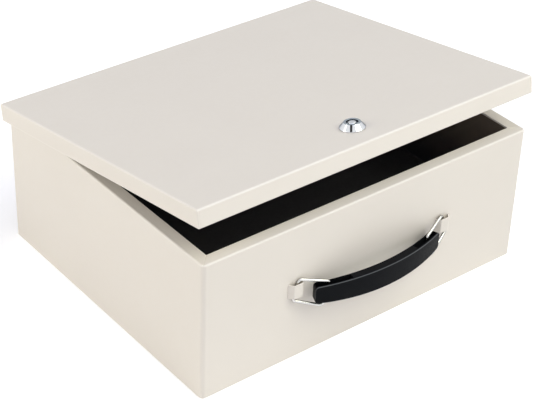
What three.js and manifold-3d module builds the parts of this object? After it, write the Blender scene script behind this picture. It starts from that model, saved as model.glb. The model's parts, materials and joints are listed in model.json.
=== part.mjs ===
// Fireproof document box of double-walled sheet steel, in millimetres, +Z up.
// The origin is the middle of the underside. The front, with the handle, faces -Y,
// and the lid turns on a piano hinge along the back. The lid stands ajar.

import * as THREE from 'three';
import { mergeVertices } from 'three/addons/utils/BufferGeometryUtils.js';
import Module from 'manifold-3d';

// Driving sizes of the body
const bodyWidth = 388;
const bodyDepth = 321;
const bodyHeight = 148;
const rimWidth = 12.7; // thickness of the double wall, seen from above
const floorHeight = 50; // inside floor above the underside
const shellSheet = 1; // painted outer sheet
const linerSheet = 0.8; // black inner sheet
const cornerRadius = 3.2; // upright corners of the body, outside
const foldRadius = 1.2; // folds along the top edges
const mouthRadius = 1; // corners of the mouth
const lipDrop = 2; // short lip turned down round the mouth
const panelFlange = 8; // edge of the bottom panel, turned up inside the shell

// Clearances
const seat = 0.2; // between pieces that are fixed to each other
const running = 0.3; // between pieces that turn, and in the lid
const overrun = 1.5; // how far every cut runs past what it cuts

// Driving sizes of the lid
const openAngle = THREE.MathUtils.degToRad(9.65);
const lidSideReach = 3.5; // lid past each side of the body
const lidFrontReach = 2.5; // lid past the front of the body
const lidRise = 2.4; // top of the closed lid above the rim
const lidCornerRadius = 1.4; // upright corners of the lid, outside
const skirtDepth = 18;
const panDrop = 8; // lid liner below the rim when the lid is closed
const panSideGap = 2;
const panBackGap = 6; // the pan swings out past the back wall here
const panFlange = 8; // edge of the lid liner that lies over the rim

// Driving sizes of the hinge
const hingeInset = 19; // ends of the hinge, in from the sides of the body
const knuckleCount = 17;
const knuckleRadius = 2.8;
const pinRadius = 1.2;
const leafSheet = 1;
const pinDrop = 13.1; // hinge axis below the rim
const bodyLeafHeight = 16;
const lidLeafHeight = 13.4;
const backSkirtBelowPin = 1.1;
const rivetRadius = 1.6;
const rivetHeadRadius = 3;
const rivetHeadHeight = 1.1;
const rivetTailRadius = 2.4;
const rivetTailHeight = 0.9;
const rivetsPerLeaf = 4;

// Driving sizes of the lock
const lockSetback = 32.7; // lock axis behind the lid's front face
const bezelRadius = 12.3;
const bezelTopRadius = 8;
const bezelHeight = 6;
const bezelEdge = 0.8; // upright edge at the foot of the cone
const barrelRadius = 9.5;
const barrelLength = 17.5; // from the lid's top face down
const keywayRadius = 5.7;
const keywayDepth = 7;
const postRadius = 3.8;
const plugHeadHeight = 3;
const stemRadius = 4.5;
const markWidth = 2.2;
const markDepth = 0.5;
const markAngle = THREE.MathUtils.degToRad(-132);
const washerThickness = 1;
const washerRadius = 12.6;
const nutThickness = 3;
const nutRadius = 13.6; // across the corners
const camThickness = 2;
const camWidth = 11;
const camReach = 14.5; // lock axis to the cam's tip
const squareSize = 6.4; // square tail of the plug
const camScrewRadius = 1.5;
const camScrewHeadRadius = 4.2;
const camScrewHeadHeight = 1.6;
const camScrewLength = 6;
const strikeSheet = 1.5;
const strikeWidth = 40;
const strikeHeight = 15;
const strikeGap = 0.6; // under the strike's ledge when the cam turns in

// Driving sizes of the handle
const clipCentreHeight = 79.4;
const clipHeight = 15;
const clipSheet = 1;
const clipWidth = 17.6; // at the wall, over both sides
const clipFlat = 10; // front of a clip, between its sloping sides
const clipDepth = 5.2; // front of a clip, out from the wall
const clipBend = 1.8; // outer radius of the clip's two front corners
const clipFoot = 5;
const clipOffset = 1.2; // the legs hang this far out from the middle of their clips
const wireRadius = 1.5;
const wireBend = 3; // middle line of the wire's bends
const bailArm = 31; // clip end to grip end of a bail
const bailLeg = 22; // between the two arms of a bail, at the clip
const bailFlare = 1.7; // each arm ends this much further out at the grip
const bailTip = 9.4; // wire end turned into the grip, from the arm's middle line
const swingAngle = THREE.MathUtils.degToRad(20); // arms stand off the front by this
const droopAngle = THREE.MathUtils.degToRad(18.4); // arms hang towards the grip by this
const gripLength = 152;
const gripFrontRadius = 200; // bow of the grip, seen from above
const gripThickness = 9;
const gripFace = 1.6; // front wall of the pockets that the bails reach into
const gripWall = 1; // back and end walls of the pockets
const gripWeb = 11; // height of the web between the upper and the lower pockets
const gripMiddleHeight = 22.8;
const gripEndHeight = 18.4;
const gripCorner = 2.8;
const gripBodyHalf = 40; // solid part of the grip, each way from the middle
const gripRise = 2; // middle of the grip above the middle of its pivot holes
const pivotInset = 12.5; // pivot holes from the grip's ends
const pivotDepth = 4.6; // pivot holes behind the grip's front face

// How many flats stand for each round stretch
const roundSteps = 24; // full turn of a plain round piece
const bendSteps = 3; // quarter turn of a fold
const wireSteps = 8; // full turn round the bail wire
const hingeSteps = 12; // full turn of a knuckle, pin or rivet
const bezelSteps = 32; // full turn of the lock's bezel
const gripSteps = 14; // length of the grip

// Finishes
const sand = new THREE.MeshStandardMaterial({ color: 0xe4dfd3, roughness: 0.45, metalness: 0 });
const black = new THREE.MeshStandardMaterial({ color: 0x15161a, roughness: 0.6, metalness: 0 });
const board = new THREE.MeshStandardMaterial({ color: 0xb9b2a4, roughness: 0.95, metalness: 0 });
const zinc = new THREE.MeshStandardMaterial({ color: 0xaeb1b3, roughness: 0.35, metalness: 1 });
const chrome = new THREE.MeshStandardMaterial({ color: 0xe6e8ea, roughness: 0.08, metalness: 1 });
const plastic = new THREE.MeshStandardMaterial({ color: 0x1b1d21, roughness: 0.4, metalness: 0 });

// Solids that can be joined and cut
const wasm = await Module();
wasm.setup();

function solid(geometry) {
  const bare = geometry.clone();
  bare.deleteAttribute('normal');
  bare.deleteAttribute('uv');
  const merged = mergeVertices(bare);
  return new wasm.Manifold(new wasm.Mesh({
    numProp: 3,
    vertProperties: new Float32Array(merged.attributes.position.array),
    triVerts: new Uint32Array(merged.index.array),
  }));
}

function geometryOf(shape) {
  const mesh = shape.getMesh();
  const geometry = new THREE.BufferGeometry();
  const corners = [];
  for (const vertex of mesh.triVerts) {
    const first = vertex * mesh.numProp;
    corners.push(...mesh.vertProperties.slice(first, first + 3));
  }
  geometry.setAttribute('position', new THREE.Float32BufferAttribute(corners, 3));
  geometry.computeVertexNormals();
  return geometry;
}

function piece(name, shape, material, parent) {
  const mesh = new THREE.Mesh(geometryOf(shape), material);
  mesh.name = name;
  parent.add(mesh);
  return mesh;
}

// A block between two corners
function block(x0, x1, y0, y1, z0, z1) {
  const geometry = new THREE.BoxGeometry(x1 - x0, y1 - y0, z1 - z0);
  geometry.translate((x0 + x1) / 2, (y0 + y1) / 2, (z0 + z1) / 2);
  return solid(geometry);
}

// A rectangle with round corners
function roundedOutline(x0, x1, y0, y1, radius) {
  const outline = new THREE.Shape();
  outline.moveTo(x0 + radius, y0);
  outline.lineTo(x1 - radius, y0);
  outline.absarc(x1 - radius, y0 + radius, radius, -Math.PI / 2, 0, false);
  outline.lineTo(x1, y1 - radius);
  outline.absarc(x1 - radius, y1 - radius, radius, 0, Math.PI / 2, false);
  outline.lineTo(x0 + radius, y1);
  outline.absarc(x0 + radius, y1 - radius, radius, Math.PI / 2, Math.PI, false);
  outline.lineTo(x0, y0 + radius);
  outline.absarc(x0 + radius, y0 + radius, radius, Math.PI, 1.5 * Math.PI, false);
  return outline;
}

function extruded(outline, low, high, edge = 0, steps = bendSteps) {
  const geometry = new THREE.ExtrudeGeometry(outline, {
    depth: high - low - 2 * edge,
    bevelEnabled: edge > 0,
    bevelSize: edge,
    bevelThickness: edge,
    bevelSegments: bendSteps,
    curveSegments: steps,
  });
  geometry.translate(0, 0, low + edge);
  return solid(geometry);
}

// A block with round upright corners, and with its top and bottom edges rounded by edge
function roundedBlock(x0, x1, y0, y1, low, high, radius, edge = 0) {
  const bare = Math.max(radius - edge, seat);
  const outline = roundedOutline(x0 + edge, x1 - edge, y0 + edge, y1 - edge, bare);
  return extruded(outline, low, high, edge);
}

// A round rod along X, Y or Z
function rod(radius, low, high, axis, a = 0, b = 0, steps = roundSteps) {
  const geometry = new THREE.CylinderGeometry(radius, radius, high - low, steps);
  geometry.translate(0, (low + high) / 2, 0);
  if (axis === 'x') {
    geometry.rotateZ(-Math.PI / 2);
    geometry.translate(0, a, b);
  } else if (axis === 'y') {
    geometry.translate(a, 0, b);
  } else {
    geometry.rotateX(Math.PI / 2);
    geometry.translate(a, b, 0);
  }
  return solid(geometry);
}

// A turned piece about Z, from its profile of radius and height
function turned(profile, steps = roundSteps) {
  const points = profile.map(([radius, height]) => new THREE.Vector2(radius, height));
  const geometry = new THREE.LatheGeometry(points, steps);
  geometry.rotateX(Math.PI / 2);
  return solid(geometry);
}

// Places that several pieces share
const side = bodyWidth / 2;
const hingeLength = bodyWidth - 2 * hingeInset;
const front = -bodyDepth / 2;
const back = bodyDepth / 2;
const insideRadius = Math.max(cornerRadius - shellSheet, seat);
const lidInsideRadius = Math.max(lidCornerRadius - shellSheet, seat);
const boardInset = 2 * shellSheet + 2 * seat;
const linerOutset = rimWidth - shellSheet - seat; // inner face of the liner, from the body's faces
const linerInset = linerOutset - linerSheet;
const underRim = bodyHeight - shellSheet - seat;
const pinY = back + knuckleRadius + running;
const pinZ = bodyHeight - pinDrop;
const lidTop = bodyHeight + lidRise;
const lidFront = front - lidFrontReach;
const lidBack = pinY + knuckleRadius + running + shellSheet;
const lidSide = side + lidSideReach;
const skirtLow = lidTop - skirtDepth;
const lockY = lidFront + lockSetback;

const box = new THREE.Group();

// The lid and all on it are drawn closed, and turned open about the hinge pin.
const hinge = new THREE.Group();
hinge.position.set(0, pinY, pinZ);
hinge.rotation.x = -openAngle;
const lid = new THREE.Group();
lid.position.set(0, -pinY, -pinZ);
hinge.add(lid);
box.add(hinge);

// Body shell: four walls, the rim turned in over them and a short lip down round the mouth
const wallBlock = roundedBlock(
  -side, side, front, back, -2 * foldRadius, bodyHeight, cornerRadius, foldRadius,
);
const bodyCavity = roundedBlock(
  -side + shellSheet, side - shellSheet, front + shellSheet, back - shellSheet,
  -2 * foldRadius - overrun, bodyHeight - shellSheet, insideRadius,
);
const belowBody = block(
  -side - overrun, side + overrun, front - overrun, back + overrun, -2 * foldRadius - overrun, 0,
);
const lipBlock = roundedBlock(
  -side + rimWidth - shellSheet, side - rimWidth + shellSheet,
  front + rimWidth - shellSheet, back - rimWidth + shellSheet,
  bodyHeight - lipDrop, bodyHeight - shellSheet / 2, mouthRadius + shellSheet,
);
const mouth = roundedBlock(
  -side + rimWidth, side - rimWidth, front + rimWidth, back - rimWidth,
  bodyHeight - lipDrop - overrun, bodyHeight + overrun, mouthRadius,
);
const pivotX = gripLength / 2 - pivotInset;
const legX = pivotX + bailArm * Math.cos(swingAngle) * Math.cos(droopAngle);
const clipX = legX - clipOffset;
const clipSlope = Math.atan2(clipDepth, (clipWidth - clipFlat) / 2);
const slotOut = clipWidth / 2 + seat;
const slotIn = clipWidth / 2 - clipSheet / Math.sin(clipSlope) - seat;
const rivetXs = [...Array(rivetsPerLeaf).keys()].map(
  (i) => hingeLength * ((i + 1 / 2) / rivetsPerLeaf - 1 / 2),
);
const bodyRivetZ = pinZ - (bodyLeafHeight + knuckleRadius) / 2;
const lidRivetZ = pinZ + (lidLeafHeight + knuckleRadius) / 2;

let shell = wallBlock.subtract(bodyCavity).subtract(belowBody).add(lipBlock).subtract(mouth);
for (const hand of [-1, 1]) {
  for (const end of [-1, 1]) {
    const middle = hand * clipX + end * (slotOut + slotIn) / 2;
    const half = (slotOut - slotIn) / 2;
    const tall = clipHeight / 2 + seat;
    shell = shell.subtract(block(
      middle - half, middle + half, front - overrun, front + shellSheet + overrun,
      clipCentreHeight - tall, clipCentreHeight + tall,
    ));
  }
}
for (const x of rivetXs) {
  shell = shell.subtract(rod(
    rivetRadius + seat, back - shellSheet - overrun, back + overrun, 'y', x, bodyRivetZ, hingeSteps,
  ));
}
piece('outer_shell', shell, sand, box);

// Bottom panel: a shallow tray that stands flush inside the walls
const panelOut = shellSheet + seat;
const panelIn = panelOut + shellSheet;
const bottomPanel = roundedBlock(
  -side + panelOut, side - panelOut, front + panelOut, back - panelOut, 0, panelFlange, insideRadius,
).subtract(block(
  -side + panelIn, side - panelIn, front + panelIn, back - panelIn, shellSheet, panelFlange + overrun,
));
piece('bottom_panel', bottomPanel, sand, box);

// Inner liner: the black tray that the papers lie in
const liner = roundedBlock(
  -side + linerInset, side - linerInset, front + linerInset, back - linerInset,
  floorHeight - linerSheet, underRim, mouthRadius + shellSheet + seat + linerSheet,
).subtract(roundedBlock(
  -side + linerOutset, side - linerOutset, front + linerOutset, back - linerOutset,
  floorHeight, underRim + overrun, mouthRadius + shellSheet + seat,
));
piece('inner_liner', liner, black, box);

// Insulation boards in the walls and under the floor
const boardLow = shellSheet + seat;
const boardIn = linerInset - seat;
const acrossFront = [-side + boardInset, side - boardInset];
const alongSide = [front + boardIn + seat, back - boardIn - seat];
piece('wall_board_front', block(
  ...acrossFront, front + boardInset, front + boardIn, boardLow, underRim,
), board, box);
piece('wall_board_back', block(
  ...acrossFront, back - boardIn, back - boardInset, boardLow, underRim,
), board, box);
piece('wall_board_left', block(
  -side + boardInset, -side + boardIn, ...alongSide, boardLow, underRim,
), board, box);
piece('wall_board_right', block(
  side - boardIn, side - boardInset, ...alongSide, boardLow, underRim,
), board, box);
const baseX = side - boardIn - seat;
const baseY = back - boardIn - seat;
const baseTop = floorHeight - linerSheet - seat;
const baseBoard = (baseTop - boardLow - seat) / 2;
piece('base_board_lower', block(
  -baseX, baseX, -baseY, baseY, boardLow, boardLow + baseBoard,
), board, box);
piece('base_board_upper', block(
  -baseX, baseX, -baseY, baseY, baseTop - baseBoard, baseTop,
), board, box);

// Piano hinge: knuckles take turns between the two leaves
const knucklePitch = hingeLength / knuckleCount;
function knuckleX(i) {
  return -hingeLength / 2 + i * knucklePitch;
}
function hingeLeaf(plate, first, notchLow, notchHigh) {
  const boreHalf = hingeLength / 2 + overrun;
  const bore = rod(pinRadius + running, -boreHalf, boreHalf, 'x', pinY, pinZ, hingeSteps);
  let leaf = plate;
  for (let i = 0; i < knuckleCount; i += 1) {
    const x0 = knuckleX(i);
    const x1 = knuckleX(i + 1);
    if (i % 2 === first) {
      leaf = leaf.add(rod(knuckleRadius, x0 + running / 2, x1 - running / 2, 'x', pinY, pinZ, hingeSteps));
    } else {
      leaf = leaf.subtract(block(
        x0 - running / 2, x1 + running / 2, pinY - 2 * knuckleRadius, pinY + 2 * knuckleRadius,
        notchLow, notchHigh,
      ));
    }
  }
  return leaf.subtract(bore);
}
const notch = knuckleRadius + running;
let bodyLeaf = hingeLeaf(block(
  -hingeLength / 2 + running / 2, hingeLength / 2 - running / 2,
  pinY - knuckleRadius, pinY - knuckleRadius + leafSheet, pinZ - bodyLeafHeight, pinZ,
), 0, pinZ - notch, pinZ + overrun);
let lidLeaf = hingeLeaf(block(
  -hingeLength / 2 + running / 2, hingeLength / 2 - running / 2,
  pinY + knuckleRadius - leafSheet, pinY + knuckleRadius, pinZ, pinZ + lidLeafHeight,
), 1, pinZ - overrun, pinZ + notch);
for (const x of rivetXs) {
  bodyLeaf = bodyLeaf.subtract(rod(rivetRadius + seat, back, pinY, 'y', x, bodyRivetZ, hingeSteps));
  lidLeaf = lidLeaf.subtract(rod(rivetRadius + running, pinY, lidBack, 'y', x, lidRivetZ, hingeSteps));
}
piece('hinge_leaf_body', bodyLeaf, zinc, box);
piece('hinge_leaf_lid', lidLeaf, zinc, lid);
const pinHalf = (hingeLength + shellSheet) / 2;
piece('hinge_pin', rod(pinRadius, -pinHalf, pinHalf, 'x', pinY, pinZ, hingeSteps), zinc, box);

// A rivet along Y: domed head from headY outwards, flat tail from tailY inwards
function rivet(headY, tailY, x, z) {
  const domeEdgeShare = 0.35;
  const domeShoulderShare = 0.72;
  const shape = turned([
    [0, tailY - rivetTailHeight],
    [rivetTailRadius, tailY - rivetTailHeight],
    [rivetTailRadius, tailY],
    [rivetRadius, tailY],
    [rivetRadius, headY],
    [rivetHeadRadius, headY],
    [rivetHeadRadius, headY + rivetHeadHeight * domeEdgeShare],
    [rivetHeadRadius * domeShoulderShare, headY + rivetHeadHeight * (1 + domeShoulderShare) / 2],
    [0, headY + rivetHeadHeight],
  ], hingeSteps);
  return shape.rotate([-90, 0, 0]).translate([x, 0, z]);
}
rivetXs.forEach((x, i) => {
  const bodyHead = pinY - knuckleRadius + leafSheet + seat;
  const bodyTail = back - shellSheet - seat;
  piece(`hinge_rivet_body_${i + 1}`, rivet(bodyHead, bodyTail, x, bodyRivetZ), zinc, box);
  const lidHead = lidBack + running;
  const lidTail = pinY + knuckleRadius - leafSheet - running;
  piece(`hinge_rivet_lid_${i + 1}`, rivet(lidHead, lidTail, x, lidRivetZ), sand, lid);
});

// Lid shell: top and skirt. The back skirt is shorter and meets the body's leaf as a stop.
const lockHole = barrelRadius + running;
let lidShell = roundedBlock(
  -lidSide, lidSide, lidFront, lidBack, skirtLow - 2 * foldRadius, lidTop, lidCornerRadius, foldRadius,
).subtract(roundedBlock(
  -lidSide + shellSheet, lidSide - shellSheet, lidFront + shellSheet, lidBack - shellSheet,
  skirtLow - 2 * foldRadius - overrun, lidTop - shellSheet, lidInsideRadius,
)).subtract(block(
  -lidSide - overrun, lidSide + overrun, lidFront - overrun, lidBack + overrun,
  skirtLow - 2 * foldRadius - overrun, skirtLow,
)).subtract(block(
  -lidSide + shellSheet, lidSide - shellSheet, pinY, lidBack + overrun,
  skirtLow - overrun, pinZ - backSkirtBelowPin,
)).subtract(rod(lockHole, lidTop - shellSheet - overrun, lidTop + overrun, 'z', 0, lockY));
for (const x of rivetXs) {
  lidShell = lidShell.subtract(rod(
    rivetRadius + running, pinY + knuckleRadius, lidBack + overrun, 'y', x, lidRivetZ, hingeSteps,
  ));
}
piece('lid_shell', lidShell, sand, lid);

// Lid liner: a pan that hangs into the mouth, and the board that it holds
const panX = side - rimWidth - panSideGap;
const panFront = front + rimWidth + panSideGap;
const panBack = back - rimWidth - panBackGap;
const panTop = lidTop - shellSheet - running;
const panLow = bodyHeight - panDrop;
const flangeLow = panTop - linerSheet;
const pan = roundedBlock(-panX, panX, panFront, panBack, panLow, panTop, mouthRadius)
  .add(roundedBlock(
    -panX - panFlange, panX + panFlange, panFront - panFlange, panBack + panFlange,
    flangeLow, panTop, mouthRadius + panFlange / 2,
  ))
  .subtract(block(
    -panX + linerSheet, panX - linerSheet, panFront + linerSheet, panBack - linerSheet,
    panLow + linerSheet, panTop + overrun,
  ))
  .subtract(rod(lockHole, panLow - overrun, panTop + overrun, 'z', 0, lockY));
piece('lid_liner', pan, sand, lid);
const panWall = linerSheet + running;
piece('lid_board', block(
  -panX + panWall, panX - panWall, panFront + panWall, panBack - panWall, panLow + panWall, panTop,
).subtract(rod(lockHole, panLow, panTop + overrun, 'z', 0, lockY)), board, lid);

// Lock: bezel and barrel in one, clamped to the lid by a washer and a nut
const bezelFoot = lidTop + running;
const bezelTop = bezelFoot + bezelHeight;
const barrelEnd = lidTop - barrelLength;
const shoulder = bezelTop - keywayDepth - plugHeadHeight - running;
let barrel = turned([
  [keywayRadius, bezelTop],
  [keywayRadius, shoulder],
  [stemRadius + running, shoulder],
  [stemRadius + running, barrelEnd],
  [barrelRadius, barrelEnd],
  [barrelRadius, bezelFoot],
  [bezelRadius, bezelFoot],
  [bezelRadius, bezelFoot + bezelEdge],
  [bezelTopRadius, bezelTop],
  [keywayRadius, bezelTop],
], bezelSteps);
const slope = Math.atan2(bezelHeight - bezelEdge, bezelRadius - bezelTopRadius);
const slant = Math.hypot(bezelHeight - bezelEdge, bezelRadius - bezelTopRadius);
const mark = new THREE.BoxGeometry(slant, markWidth, 2 * markDepth);
mark.rotateY(slope);
mark.translate((bezelRadius + bezelTopRadius) / 2, 0, bezelFoot + (bezelHeight + bezelEdge) / 2);
mark.rotateZ(markAngle);
barrel = barrel.subtract(solid(mark)).translate([0, lockY, 0]);
piece('lock_barrel', barrel, chrome, lid);
const washerTop = panLow - running;
const nutTop = washerTop - washerThickness - running;
const nutLow = nutTop - nutThickness;
piece('lock_washer', rod(washerRadius, washerTop - washerThickness, washerTop, 'z', 0, lockY)
  .subtract(rod(lockHole, nutTop, washerTop + overrun, 'z', 0, lockY)), zinc, lid);
const hexagon = new THREE.CylinderGeometry(nutRadius, nutRadius, nutThickness, 6);
hexagon.rotateX(Math.PI / 2);
hexagon.translate(0, lockY, nutTop - nutThickness / 2);
piece('lock_nut', solid(hexagon)
  .subtract(rod(lockHole, nutLow - overrun, nutTop + overrun, 'z', 0, lockY)), zinc, lid);

// The turning part of the lock: plug with its centre post, cam and cam screw
const plugFace = bezelTop - keywayDepth;
const plugTop = bezelTop - running;
const camTop = barrelEnd - running;
const camLow = camTop - camThickness;
const tail = block(-squareSize / 2, squareSize / 2, -squareSize / 2, squareSize / 2, camLow, barrelEnd);
const plug = turned([
  [0, barrelEnd],
  [stemRadius, barrelEnd],
  [stemRadius, plugFace - plugHeadHeight],
  [keywayRadius - running, plugFace - plugHeadHeight],
  [keywayRadius - running, plugFace],
  [postRadius, plugFace],
  [postRadius, plugTop],
  [0, plugTop],
]).add(tail)
  .subtract(rod(camScrewRadius + running, camLow - overrun, camLow + camScrewLength + running, 'z'))
  .translate([0, lockY, 0]);
piece('lock_plug', plug, chrome, lid);
const camOutline = new THREE.Shape();
const camHalf = camWidth / 2;
const tipAngle = Math.asin(camHalf / camReach);
camOutline.absarc(0, 0, camHalf, Math.PI / 2, 1.5 * Math.PI, false);
camOutline.absarc(0, 0, camReach, -tipAngle, tipAngle, false);
const squareHole = squareSize / 2 + running;
const cam = extruded(camOutline, camLow, camTop, 0, hingeSteps)
  .subtract(block(
    -squareHole, squareHole, -squareHole, squareHole, camLow - overrun, camTop + overrun,
  ))
  .translate([0, lockY, 0]);
piece('lock_cam', cam, zinc, lid);
const screwTop = camLow - running;
const screwLow = screwTop - camScrewHeadHeight;
const screwShank = rod(camScrewRadius, screwLow, screwTop + camScrewLength, 'z', 0, lockY, hingeSteps);
piece('cam_screw', rod(camScrewHeadRadius, screwLow, screwTop, 'z', 0, lockY).add(screwShank), zinc, lid);

// Strike on the inner front wall: the locked cam turns in under its ledge
const strikeY = front + linerOutset + seat;
const ledgeLow = camTop + strikeGap;
const ledgeTop = ledgeLow + strikeSheet;
const ledgeEdge = lockY - barrelRadius - strikeSheet;
const strikeHalf = strikeWidth / 2;
piece('lock_strike', block(
  -strikeHalf, strikeHalf, strikeY, strikeY + strikeSheet, ledgeTop - strikeHeight, ledgeTop,
).add(block(-strikeHalf, strikeHalf, strikeY, ledgeEdge, ledgeLow, ledgeTop)), black, box);

// Clips: sheet straps with sloping sides, their feet turned flat inside the wall
function clip() {
  const outer = clipWidth / 2;
  const inner = outer - clipSheet;
  const inside = -shellSheet - seat;
  const foot = outer + clipFoot;
  const outline = new THREE.Shape();
  const corner = (x, y, radius, turn) => {
    const reach = radius * Math.tan(clipSlope / 2);
    const middleX = x - Math.sign(x) * reach;
    const from = Math.PI / 2 - Math.sign(x) * clipSlope;
    const [start, end] = turn > 0 ? [from, Math.PI / 2] : [Math.PI / 2, from];
    outline.absarc(middleX, y - radius, radius, start, end, (turn > 0) === (x < 0));
  };
  const bendIn = -clipSheet * Math.tan(Math.PI / 4 - clipSlope / 2);
  const innerFlat = clipFlat / 2 - clipSheet * Math.tan(clipSlope / 2);
  outline.moveTo(-foot, inside - clipSheet);
  outline.lineTo(-inner, inside - clipSheet);
  outline.lineTo(-inner, bendIn);
  corner(-innerFlat, clipDepth - clipSheet, clipBend - clipSheet, 1);
  corner(innerFlat, clipDepth - clipSheet, clipBend - clipSheet, -1);
  outline.lineTo(inner, bendIn);
  outline.lineTo(inner, inside - clipSheet);
  outline.lineTo(foot, inside - clipSheet);
  outline.lineTo(foot, inside);
  outline.lineTo(outer, inside);
  outline.lineTo(outer, 0);
  corner(clipFlat / 2, clipDepth, clipBend, 1);
  corner(-clipFlat / 2, clipDepth, clipBend, -1);
  outline.lineTo(-outer, 0);
  outline.lineTo(-outer, inside);
  outline.lineTo(-foot, inside);
  return extruded(outline, -clipHeight / 2, clipHeight / 2);
}
for (const [name, hand] of [['handle_clip_left', -1], ['handle_clip_right', 1]]) {
  const mesh = piece(name, clip(), sand, box);
  mesh.rotation.z = Math.PI;
  mesh.position.set(hand * clipX, front, clipCentreHeight);
}

// Bails: one wire each, drawn with the leg on Z and both arms towards +X
const tipZ = bailLeg / 2 + bailFlare;
class BailLine extends THREE.Curve {
  constructor() {
    super();
    const corners = [
      [bailArm, tipZ - bailTip], [bailArm, tipZ], [0, bailLeg / 2],
      [0, -bailLeg / 2], [bailArm, -tipZ], [bailArm, bailTip - tipZ],
    ].map(([x, z]) => new THREE.Vector3(x, 0, z));
    const points = [corners[0]];
    for (let i = 1; i < corners.length - 1; i += 1) {
      const arriving = corners[i].clone().sub(corners[i - 1]).normalize();
      const leaving = corners[i + 1].clone().sub(corners[i]).normalize();
      const turn = arriving.angleTo(leaving);
      const axis = arriving.clone().cross(leaving).normalize();
      const start = corners[i].clone().addScaledVector(arriving, -wireBend * Math.tan(turn / 2));
      const centre = start.clone().addScaledVector(axis.clone().cross(arriving), wireBend);
      for (let step = 0; step <= bendSteps; step += 1) {
        const spoke = start.clone().sub(centre).applyAxisAngle(axis, turn * (step / bendSteps));
        points.push(spoke.add(centre));
      }
    }
    points.push(corners[corners.length - 1]);
    this.points = points;
    this.reach = [0];
    for (let i = 1; i < points.length; i += 1) {
      this.reach.push(this.reach[i - 1] + points[i].distanceTo(points[i - 1]));
    }
  }

  getPoint(share, target = new THREE.Vector3()) {
    const along = share * this.reach[this.reach.length - 1];
    let i = 1;
    while (i < this.reach.length - 1 && this.reach[i] < along) {
      i += 1;
    }
    const step = (along - this.reach[i - 1]) / (this.reach[i] - this.reach[i - 1]);
    return target.lerpVectors(this.points[i - 1], this.points[i], step);
  }
}

function bailWire() {
  const line = new BailLine();
  const section = new THREE.Shape();
  section.absarc(0, 0, wireRadius, 0, 2 * Math.PI, false);
  const stepsPerBend = 2 * Math.PI / wireSteps;
  const geometry = new THREE.ExtrudeGeometry(section, {
    steps: Math.round(line.getLength() / (wireBend * stepsPerBend)),
    curveSegments: wireSteps,
    extrudePath: line,
  });
  return solid(geometry);
}

// Grip: a bowed strap, solid in the middle. At each end an upper and a lower pocket leave
// a web between them, and the bails' tips reach through the pockets into its pivot holes.
// It is drawn with the pivot holes' middle at the height of zero and its front towards -Y.
const gripHalf = gripLength / 2;
const gripCentreY = Math.sqrt((gripFrontRadius - pivotDepth) ** 2 - pivotX ** 2);
function bowed(frontRadius, backRadius, halfAngle, low, high) {
  const outline = new THREE.Shape();
  const middle = -Math.PI / 2;
  outline.absarc(0, gripCentreY, frontRadius, middle - halfAngle, middle + halfAngle, false);
  outline.absarc(0, gripCentreY, backRadius, middle + halfAngle, middle - halfAngle, true);
  return extruded(outline, low, high, 0, gripSteps);
}
// The front outline of the grip: taller in the middle, with round corners at its ends
function gripOutline(half, middleHeight, endHeight, corner) {
  const outline = new THREE.Shape();
  const tallAt = (x) => (middleHeight - (middleHeight - endHeight) * (x / gripHalf) ** 2) / 2;
  const last = half - corner;
  const edge = [...Array(gripSteps + 1).keys()].map((i) => last * (2 * i / gripSteps - 1));
  outline.moveTo(-last, -tallAt(last));
  edge.forEach((x) => outline.lineTo(x, -tallAt(x)));
  outline.absarc(last, corner - tallAt(last), corner, -Math.PI / 2, 0, false);
  outline.absarc(last, tallAt(last) - corner, corner, 0, Math.PI / 2, false);
  edge.reverse().forEach((x) => outline.lineTo(x, tallAt(x)));
  outline.absarc(-last, tallAt(last) - corner, corner, Math.PI / 2, Math.PI, false);
  outline.absarc(-last, corner - tallAt(last), corner, Math.PI, 1.5 * Math.PI, false);
  const geometry = new THREE.ExtrudeGeometry(outline, {
    depth: 2 * gripFrontRadius, bevelEnabled: false, curveSegments: bendSteps,
  });
  geometry.rotateX(Math.PI / 2);
  geometry.translate(0, gripFrontRadius, gripRise);
  return solid(geometry);
}
const gripBack = gripFrontRadius - gripThickness;
const gripEndAngle = Math.asin(gripHalf / gripFrontRadius);
const pocketAngle = gripEndAngle - gripWall / gripFrontRadius;
let grip = bowed(gripFrontRadius, gripBack, gripEndAngle, -gripMiddleHeight, gripMiddleHeight)
  .intersect(gripOutline(gripHalf, gripMiddleHeight, gripEndHeight, gripCorner));
for (const [low, high] of [[gripWeb / 2, gripMiddleHeight], [-gripMiddleHeight, -gripWeb / 2]]) {
  grip = grip.subtract(
    bowed(gripFrontRadius - gripFace, gripBack + gripWall, pocketAngle, low, high).subtract(block(
      -gripBodyHalf, gripBodyHalf, -gripFrontRadius, gripFrontRadius, low - overrun, high + overrun,
    )),
  );
}
const holeReach = gripWeb / 2 + overrun;
const holeEnd = tipZ - bailTip - running;
for (const hand of [-1, 1]) {
  for (const end of [-1, 1]) {
    const [low, high] = end > 0 ? [holeEnd, holeReach] : [-holeReach, -holeEnd];
    grip = grip.subtract(rod(wireRadius + running, low, high, 'z')
      .rotate([0, -hand * THREE.MathUtils.radToDeg(droopAngle), 0])
      .translate([hand * pivotX, 0, 0]));
  }
}

// The handle hangs in its clips: legs against the wall, arms out and down to the grip
const legY = front - wireRadius - running;
const pivotY = legY - bailArm * Math.sin(swingAngle);
const gripZ = clipCentreHeight - bailArm * Math.cos(swingAngle) * Math.sin(droopAngle);
piece('handle_grip', grip, plastic, box).position.set(0, pivotY, gripZ);
for (const [name, hand] of [['handle_bail_left', -1], ['handle_bail_right', 1]]) {
  const droop = new THREE.Group();
  droop.position.set(hand * legX, legY, clipCentreHeight);
  droop.rotation.y = -hand * droopAngle;
  box.add(droop);
  const bail = piece(name, bailWire(), chrome, droop);
  bail.rotation.z = hand < 0 ? -swingAngle : Math.PI + swingAngle;
}

export default box;
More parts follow.
